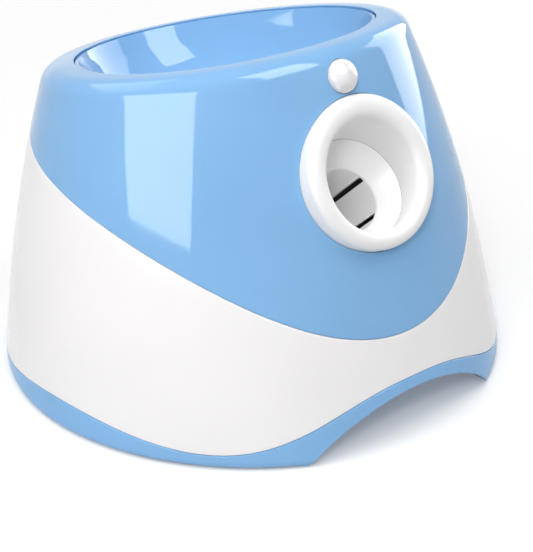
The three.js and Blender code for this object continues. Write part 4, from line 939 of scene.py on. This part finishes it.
def makeButton(name, way):
    radius, proud, flange, (top, low) = pick(buttons, "radius proud flange flangeEnds")
    profile = [
        (0, proud - 0.45), (radius * 0.35, proud - 0.36, 1), (radius * 0.72, proud - 0.05, 0.8),
        (radius - 0.5, proud, 0.5), (radius, proud - 0.6, 0.5), (radius, top, 0.2),
        (flange, top, 0.2), (flange, low, 0.2), (0, low),
    ]
    return pieceOf(name, turned(rounded(profile, 6, False), 80), buttonFrame(way))


for stem, way in (("power", -1), ("distance", 1)):
    node = stem + "_button"
    settle(makeButton(stem + "Button", way), "grey", "grey_plastic", node, bodyName=node)


def makeInlet():
    radius, bore, lip, flange, end = pick(inlet, "radius bore lip flange end")
    (top, back), floor = inlet["flangeEnds"], inlet["hole"][0]
    profile = [
        (bore, floor), (bore, lip - 0.4, 0.3), (bore + 0.4, lip, 0.2), (radius, lip, 0.3),
        (radius, top, 0.2), (flange, top, 0.3), (flange, back, 0.3), (radius, back, 0.2),
        (radius, end, 0.4), (0, end),
    ]
    return pieceOf("powerInlet", turned([(0, floor), *rounded(profile, 4, False)], 64), inletFrame)


settle(makeInlet(), "black", "black_plastic", "dc_jack")
pin, (pinTop, pinLow) = pick(inlet, "pin pinEnds")
pinProfile = rounded([(0, pinTop), (pin, pinTop, 0.5), (pin, pinLow), (0, pinLow)], 6, False)
settle(pieceOf("inletPin", turned(pinProfile, 32), inletFrame), "steel", "steel")
print("rear controls made")

# Battery door with its finger latch
door = {
    "corner": 2.5, "latchHalf": 9, "latchDepth": 7, "latchRise": 6, "latchGap": 0.6, "grooves": 5,
    "grooveHalf": (20, 0.8), "grooveStart": 18, "groovePitch": 4.2, "grooveDeep": 0.5,
}


def makeDoor():
    low, top, deep = bay["doorLow"], bay["doorTop"], door["latchDepth"]
    half, front, back = bay["halfX"] - gap, bay["front"] + gap, bay["rear"] - gap
    mesh = plate(half, (back - front) / 2, door["corner"], low, top)
    piece = pieceOf("batteryDoor", mesh, at(0, (front + back) / 2))
    half = door["latchHalf"] + gap
    combine(piece, [block((-half, back - deep, low - 1), (half, back + 1, top + 1))])
    rise, inner = top + door["latchRise"], back - deep - wall
    corners = [
        (inner, low), (back - gap, low, 0.8), (back - gap, rise, 0.8),
        (back - wall, rise, 0.8), (back - wall, top, 1.2), (inner, top),
    ]
    half = door["latchHalf"] - door["latchGap"]
    combine(piece, [cutter(prism(rounded(corners, 5), -half, half), sideFrame)], "UNION")
    grooves, (half, wide) = [], door["grooveHalf"]
    for k in range(door["grooves"]):
        spot = back - door["grooveStart"] - k * door["groovePitch"]
        there = (half, spot + wide, low + door["grooveDeep"])
        grooves.append(block((-half, spot - wide, low - 1), there))
    return combine(piece, grooves)


settle(makeDoor(), "skyBlue", "sky_blue_plastic", "battery_door", bodyName="battery_door")
print("battery door made")


# Geometry nodes: copies spread over marked points, and coiled wire
def newTree(name, sockets):
    tree = bpy.data.node_groups.new(name, "GeometryNodeTree")
    for label, kind in (("Points", "Geometry"), *sockets, ("Finish", "Material")):
        tree.interface.new_socket(label, in_out="INPUT", socket_type="NodeSocket" + kind)
    tree.interface.new_socket("Made", in_out="OUTPUT", socket_type="NodeSocketGeometry")
    return tree, tree.nodes.new("NodeGroupInput").outputs


def closeTree(tree, entry, rows, made):
    joined = addNode(tree, "GeometryNodeRealizeInstances")
    paint = addNode(tree, "GeometryNodeSetMaterial")
    last = addNode(tree, "NodeGroupOutput")
    rows += [(made, joined, 0), (joined.outputs[0], paint, "Geometry")]
    rows += [(entry["Finish"], paint, "Material"), (paint.outputs[0], last, 0)]
    for source, node, socket in rows:
        link(tree, source, node, socket)
    return tree


def makeSpreadTree():
    tree, entry = newTree("spreadOverPoints", (("Source", "Object"), ("Size", "Float")))
    source = addNode(tree, "GeometryNodeObjectInfo")
    turn = addNode(tree, "GeometryNodeInputNamedAttribute", data_type="FLOAT_VECTOR", Name="turn")
    spin = addNode(tree, "FunctionNodeEulerToRotation")
    copies = addNode(tree, "GeometryNodeInstanceOnPoints")
    rows = [
        (entry["Source"], source, "Object"), (turn.outputs["Attribute"], spin, 0),
        (source.outputs["Geometry"], copies, "Instance"), (spin.outputs[0], copies, "Rotation"),
        (entry["Size"], copies, "Scale"), (entry["Points"], copies, "Points"),
    ]
    return closeTree(tree, entry, rows, copies.outputs["Instances"])


def makeCoilTree():
    sizes = ("Start Radius", "End Radius", "Turns", "Length", "Wire", "Flat")
    tree, entry = newTree("coiledWire", [(size, "Float") for size in sizes])
    spiral = addNode(tree, "GeometryNodeCurveSpiral", Resolution=48, Height=0)
    along = addNode(tree, "GeometryNodeSplineParameter")
    climb = addNode(tree, "ShaderNodeMapRange")
    lift = addNode(tree, "ShaderNodeCombineXYZ")
    raised = addNode(tree, "GeometryNodeSetPosition")
    section = addNode(tree, "GeometryNodeCurvePrimitiveCircle", Resolution=16)
    wire = addNode(tree, "GeometryNodeCurveToMesh", Fill_Caps=True)
    rows = [
        (entry["Start Radius"], spiral, "Start Radius"),
        (entry["End Radius"], spiral, "End Radius"),
        (entry["Turns"], spiral, "Rotations"),
        (along.outputs["Factor"], climb, "Value"),
        (entry["Flat"], climb, "From Min"),
        (worked(tree, "SUBTRACT", 1.0, entry["Flat"]), climb, "From Max"),
        (entry["Length"], climb, "To Max"),
        (climb.outputs["Result"], lift, "Z"),
        (spiral.outputs["Curve"], raised, "Geometry"),
        (lift.outputs["Vector"], raised, "Offset"),
        (worked(tree, "MULTIPLY", entry["Wire"], 0.5), section, "Radius"),
        (raised.outputs["Geometry"], wire, "Curve"),
        (section.outputs["Curve"], wire, "Profile Curve"),
    ]
    return closeTree(tree, entry, rows, wire.outputs["Mesh"])


def grown(name, tree, values, matrix, spot=(0, 0, 0), turn=(0, 0, 0)):
    data = bpy.data.meshes.new(name)
    data.from_pydata([spot], [], [])
    data.attributes.new("turn", "FLOAT_VECTOR", "POINT").data[0].vector = turn
    piece = newObject(name, data)
    modifier = piece.modifiers.new("grow", "NODES")
    modifier.node_group = tree
    for item in tree.interface.items_tree:
        if item.in_out == "INPUT" and item.name in values:
            modifier[item.identifier] = values[item.name]
    applied(piece)
    piece.data.transform(place @ matrix if matrix else place)
    return piece


def pattern(mesh):
    data = bpy.data.meshes.new("pattern")
    mesh.to_mesh(data)
    mesh.free()
    return newObject("pattern", data)


spreadTree, coilTree = makeSpreadTree(), makeCoilTree()
print("node trees made")

# Screws: pan head with a cross recess and a rolled thread
screw = {
    "head": 3.2, "headTall": 2, "shank": 1.5, "thread": 0.22, "pitch": 1.1,
    "recess": (1.9, 0.62, 1.2),
}


def screwPattern(length):
    head, tall, shank, pitch = pick(screw, "head headTall shank pitch")
    root = shank - screw["thread"]
    profile = [(0, tall), (head * 0.6, tall - 0.12, 1.0), (head, tall * 0.5, 0.8), (head, 0, 0.15)]
    profile.append((shank, 0, 0.2))
    for k in range(int((length - 1.6) / pitch)):
        profile += [(root, -1 - k * pitch), (shank, -1 - k * pitch - pitch * 0.5)]
    profile += [(root, -length + 0.6), (shank * 0.4, -length), (0, -length)]
    piece = pieceOf("screw", turned(rounded(profile, 4, False), 40))
    long, wide, deep = screw["recess"]
    for x, y in ((long, wide), (wide, long)):
        combine(piece, [block((-x, -y, tall - deep), (x, y, tall + 1))])
    piece.data.transform(place.inverted())
    return piece


def spread(stem, source, spots, finish, slotName, matrix=None, turn=(0, 0, 0), bodyName="housing"):
    values = {"Source": source, "Size": 1.0, "Finish": finishes[finish]}
    for k, spot in enumerate(spots):
        name = stem + "_" + str(k + 1)
        piece = grown(name + "Shape", spreadTree, values, matrix, spot, turn)
        settle(piece, finish, slotName, name, bodyName=bodyName)
    bpy.data.objects.remove(source)


still = (0, 0, 0)
baseSpots = [(*bossPlace(turn)[:2], bosses["head"]) for turn in bosses["turns"]]
gearboxSpots = [(-32.99, 106.92, 56.86), (29.79, 103.81, 56.86), (14.18, 58.49, 56.86)]
# Length, places, turn, frame and body of each set of screws
screwSets = {
    "base_screw": (20, baseSpots, (pi, 0, 0), None, "housing"),
    "end_cap_screw": (12, [(0, -31, 128.6), (0, 31, 128.6)], still, barrelFrame, "housing"),
    "rack_screw": (14.7, [(41.3, 0, 30), (41.3, 0, 43)], (0, pi / 2, 0), barrelFrame, "plunger"),
    "gearbox_screw": (9.4, gearboxSpots, still, sideFrame, "housing"),
}
for stem, (length, spots, turn, matrix, bodyName) in screwSets.items():
    spread(stem, screwPattern(length), spots, "steel", "steel", matrix, turn, bodyName)
print("screws made")

# Rubber feet, range lights and battery springs
radius, height, dish, deep = pick(foot, "radius height dish dishDeep")
padProfile = [
    (0, height), (radius, height, 0.15), (radius, 0, foot["edge"]),
    (dish + 0.6, 0, 0.3), (dish, deep, 0.5), (0, deep),
]
source = pattern(turned(rounded(padProfile, 5, False), 64))
spread("rubber_foot", source, [(*footPlace(turn), 0) for turn in foot["turns"]], "rubber", "rubber")
pipeTop, pipeRadius = lights["proud"], lights["radius"]
pipeProfile = [
    (0, pipeTop), (pipeRadius * 0.6, pipeTop - 0.08, 0.4), (pipeRadius, pipeTop - 0.4, 0.4),
    (pipeRadius, lights["low"], 0.2), (0, lights["low"]),
]
source = pattern(turned(rounded(pipeProfile, 5, False), 40))
spots = [(step * lights["spacing"], lights["rise"], 0) for step in (-1, 0, 1)]
spread("range_light", source, spots, "clearTint", "light_plastic", panelFrame)


def coiled(name, sizes, matrix):
    wire, (start, end) = pick(sizes, "wire radii")
    values = {
        "Start Radius": start - wire / 2,
        "End Radius": end - wire / 2,
        "Turns": sizes["turns"],
        "Length": sizes["length"] - wire,
        "Wire": wire,
        "Flat": sizes["flat"],
        "Finish": finishes["springSteel"],
    }
    return grown(name, coilTree, values, matrix @ at(0, 0, wire / 2))


coil = {
    "radii": (7, 4), "turns": 3.0, "length": 8, "wire": 0.9, "flat": 0.12, "place": (53.7, 16.5),
}
for row, way in enumerate((-1, 1, -1)):
    side, height = coil["place"]
    there = at(way * side, bay["front"] + (row + 0.5) * bay["row"], height)
    name = "battery_spring_" + str(row + 1)
    piece = coiled(name + "Coil", coil, there @ Matrix.Rotation(-way * pi / 2, 4, "Y"))
    settle(piece, "springSteel", "steel", name)
print("feet, lights and battery springs made")

# Launch spring between the plunger and the end cap, drawn at one length; in the machine it is
# pressed towards the end cap as the plunger is drawn back
spring = {
    "start": 59.8, "length": 64.2, "radii": (19, 19), "wire": 1.9, "turns": 6.0, "flat": 0.08,
    "keep": 0.22,
}
springPiece = coiled("launchSpring", spring, barrelFrame @ at(0, 0, spring["start"]))
settle(springPiece, "springSteel", "steel", "launch_spring")
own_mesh(springPiece)
print("launch spring made")

# Solids that stay get their finish, steel where none is named
nodeFinishes = {
    "black": ("barrel_end_cap", "power_switch", "distance_switch", "limit_switch", "buzzer"),
    "grey": ("barrel_cradle", "gearbox_frame", "gearbox_cover"),
    "nylon": ("drive_rack", "sector_gear", "drive_gear", "reduction_gear"),
    "rubber": ("bumper_pad",),
    "board": ("sensor_board", "control_board", "main_board"),
    "sleeve": ("motor_lead", "sensor_lead", "battery_lead"),
}
finishOf = {stem: finish for finish, stems in nodeFinishes.items() for stem in stems}
for name, node in nodes.items():
    node.data.materials.clear()
    node.data.materials.append(finishes[finishOf.get(name, "steel")])
print("solids finished")

# Floor, lights and surroundings. "gloss" panels are only mirrored, "fill" lamps only light.
studio = {
    "floorWhite": 0.76,
    "floorGlow": 0.17,
    "floorFar": 1.0,
    "floorFade": (0.1, 1.8),
    "floorSize": 4000,
    "world": 0.13,
    "lamps": (
        # name, place in metres, rotation in degrees, width, height, watts, what it serves
        ("leftPanel", (-0.7754, -0.1933, 0.3788), (-23.3, 3.7, 113.6), 0.624, 0.54, 20.0, "gloss"),
        ("rightPanel", (1.3, 0.09, 0.55), (90, 0, 86), 1.02, 0.92, 23.0, "gloss"),
        ("frontRight", (0.65, -1.126, 0.85), (90, 0, 30), 0.84, 0.7, 0.8, "gloss"),
        ("backTop", (-0.5, 0.9, 1.2), (-42, 0, 29), 1.3, 0.8, 14.0, "gloss"),
        ("frontTop", (0.2, -0.65, 1.09), (38.7, 0, 13.7), 0.62, 0.7, 28.0, "gloss"),
        ("keyFill", (-0.95, -0.95, 1.15), (48, 0, -45), 0.4, 0.4, 10.0, "fill"),
        ("topFill", (-0.3, -0.2, 1.4), (-8, -12, 0), 1.2, 1.2, 14.5, "fill"),
        ("leftFill", (-1.2, 0.1, 0.7), (66, 0, -95), 1.0, 0.9, 4.4, "fill"),
        ("rightFill", (1.2, -0.5, 0.9), (60, 0, 67), 1.0, 1.0, 6.4, "fill"),
    ),
}


# White where the camera or a mirror looks, plain level for what lights the object
def seenWhite(tree, plain, white):
    rays = addNode(tree, "ShaderNodeLightPath")
    total = rays.outputs["Is Camera Ray"]
    for name in ("Is Glossy Ray", "Is Transmission Ray"):
        total = worked(tree, "MAXIMUM", total, rays.outputs[name])
    return rangeOf(tree, total, plain, white, 0.0, 1.0)


def makeFloor():
    mesh = bmesh.new()
    bmesh.ops.create_grid(mesh, x_segments=1, y_segments=1, size=studio["floorSize"])
    floor = pieceOf("floor", mesh)
    material, tree, shader = newMaterial("floorPaper")
    where = objectPlace(tree)
    low, high = studio["floorWhite"], studio["floorWhite"] * 1.01
    tone = tintBetween(tree, noiseOver(tree, where, 300.0, 2.0), (low,) * 3, (high,) * 3)
    link(tree, tone, shader, "Base Color")
    setUp(shader, Roughness=0.9, Specular_IOR_Level=0.0, Emission_Color=(1, 1, 1, 1))
    reach = addNode(tree, "ShaderNodeVectorMath", operation="LENGTH")
    link(tree, where, reach, 0)
    glow, far, fade = pick(studio, "floorGlow floorFar floorFade")
    glowing = rangeOf(tree, reach.outputs["Value"], glow, far, *fade)
    seen = worked(tree, "MULTIPLY", seenWhite(tree, 0.0, 1.0), glowing)
    link(tree, seen, shader, "Emission Strength")
    floor.data.materials.append(material)


def makeWorld():
    world = bpy.data.worlds.new("studio")
    bpy.context.scene.world = world
    world.use_nodes = True
    tree = world.node_tree
    background = tree.nodes["Background"]
    link(tree, seenWhite(tree, studio["world"], 1.0), background, "Strength")
    setUp(background, Color=(1, 1, 1, 1))


def makeLamps():
    for name, spot, turn, width, height, watts, serves in studio["lamps"]:
        light = bpy.data.lights.new(name, "AREA")
        light.shape = "RECTANGLE"
        light.size, light.size_y, light.energy = width, height, watts
        lamp = newObject(name, light)
        lamp.location = spot
        lamp.rotation_euler = [radians(angle) for angle in turn]
        lamp.visible_camera = False
        lamp.visible_glossy = serves == "gloss"
        lamp.visible_diffuse = serves == "fill"


makeFloor()
makeWorld()
makeLamps()
bpy.context.scene.view_settings.view_transform = "Standard"
print("studio lit")
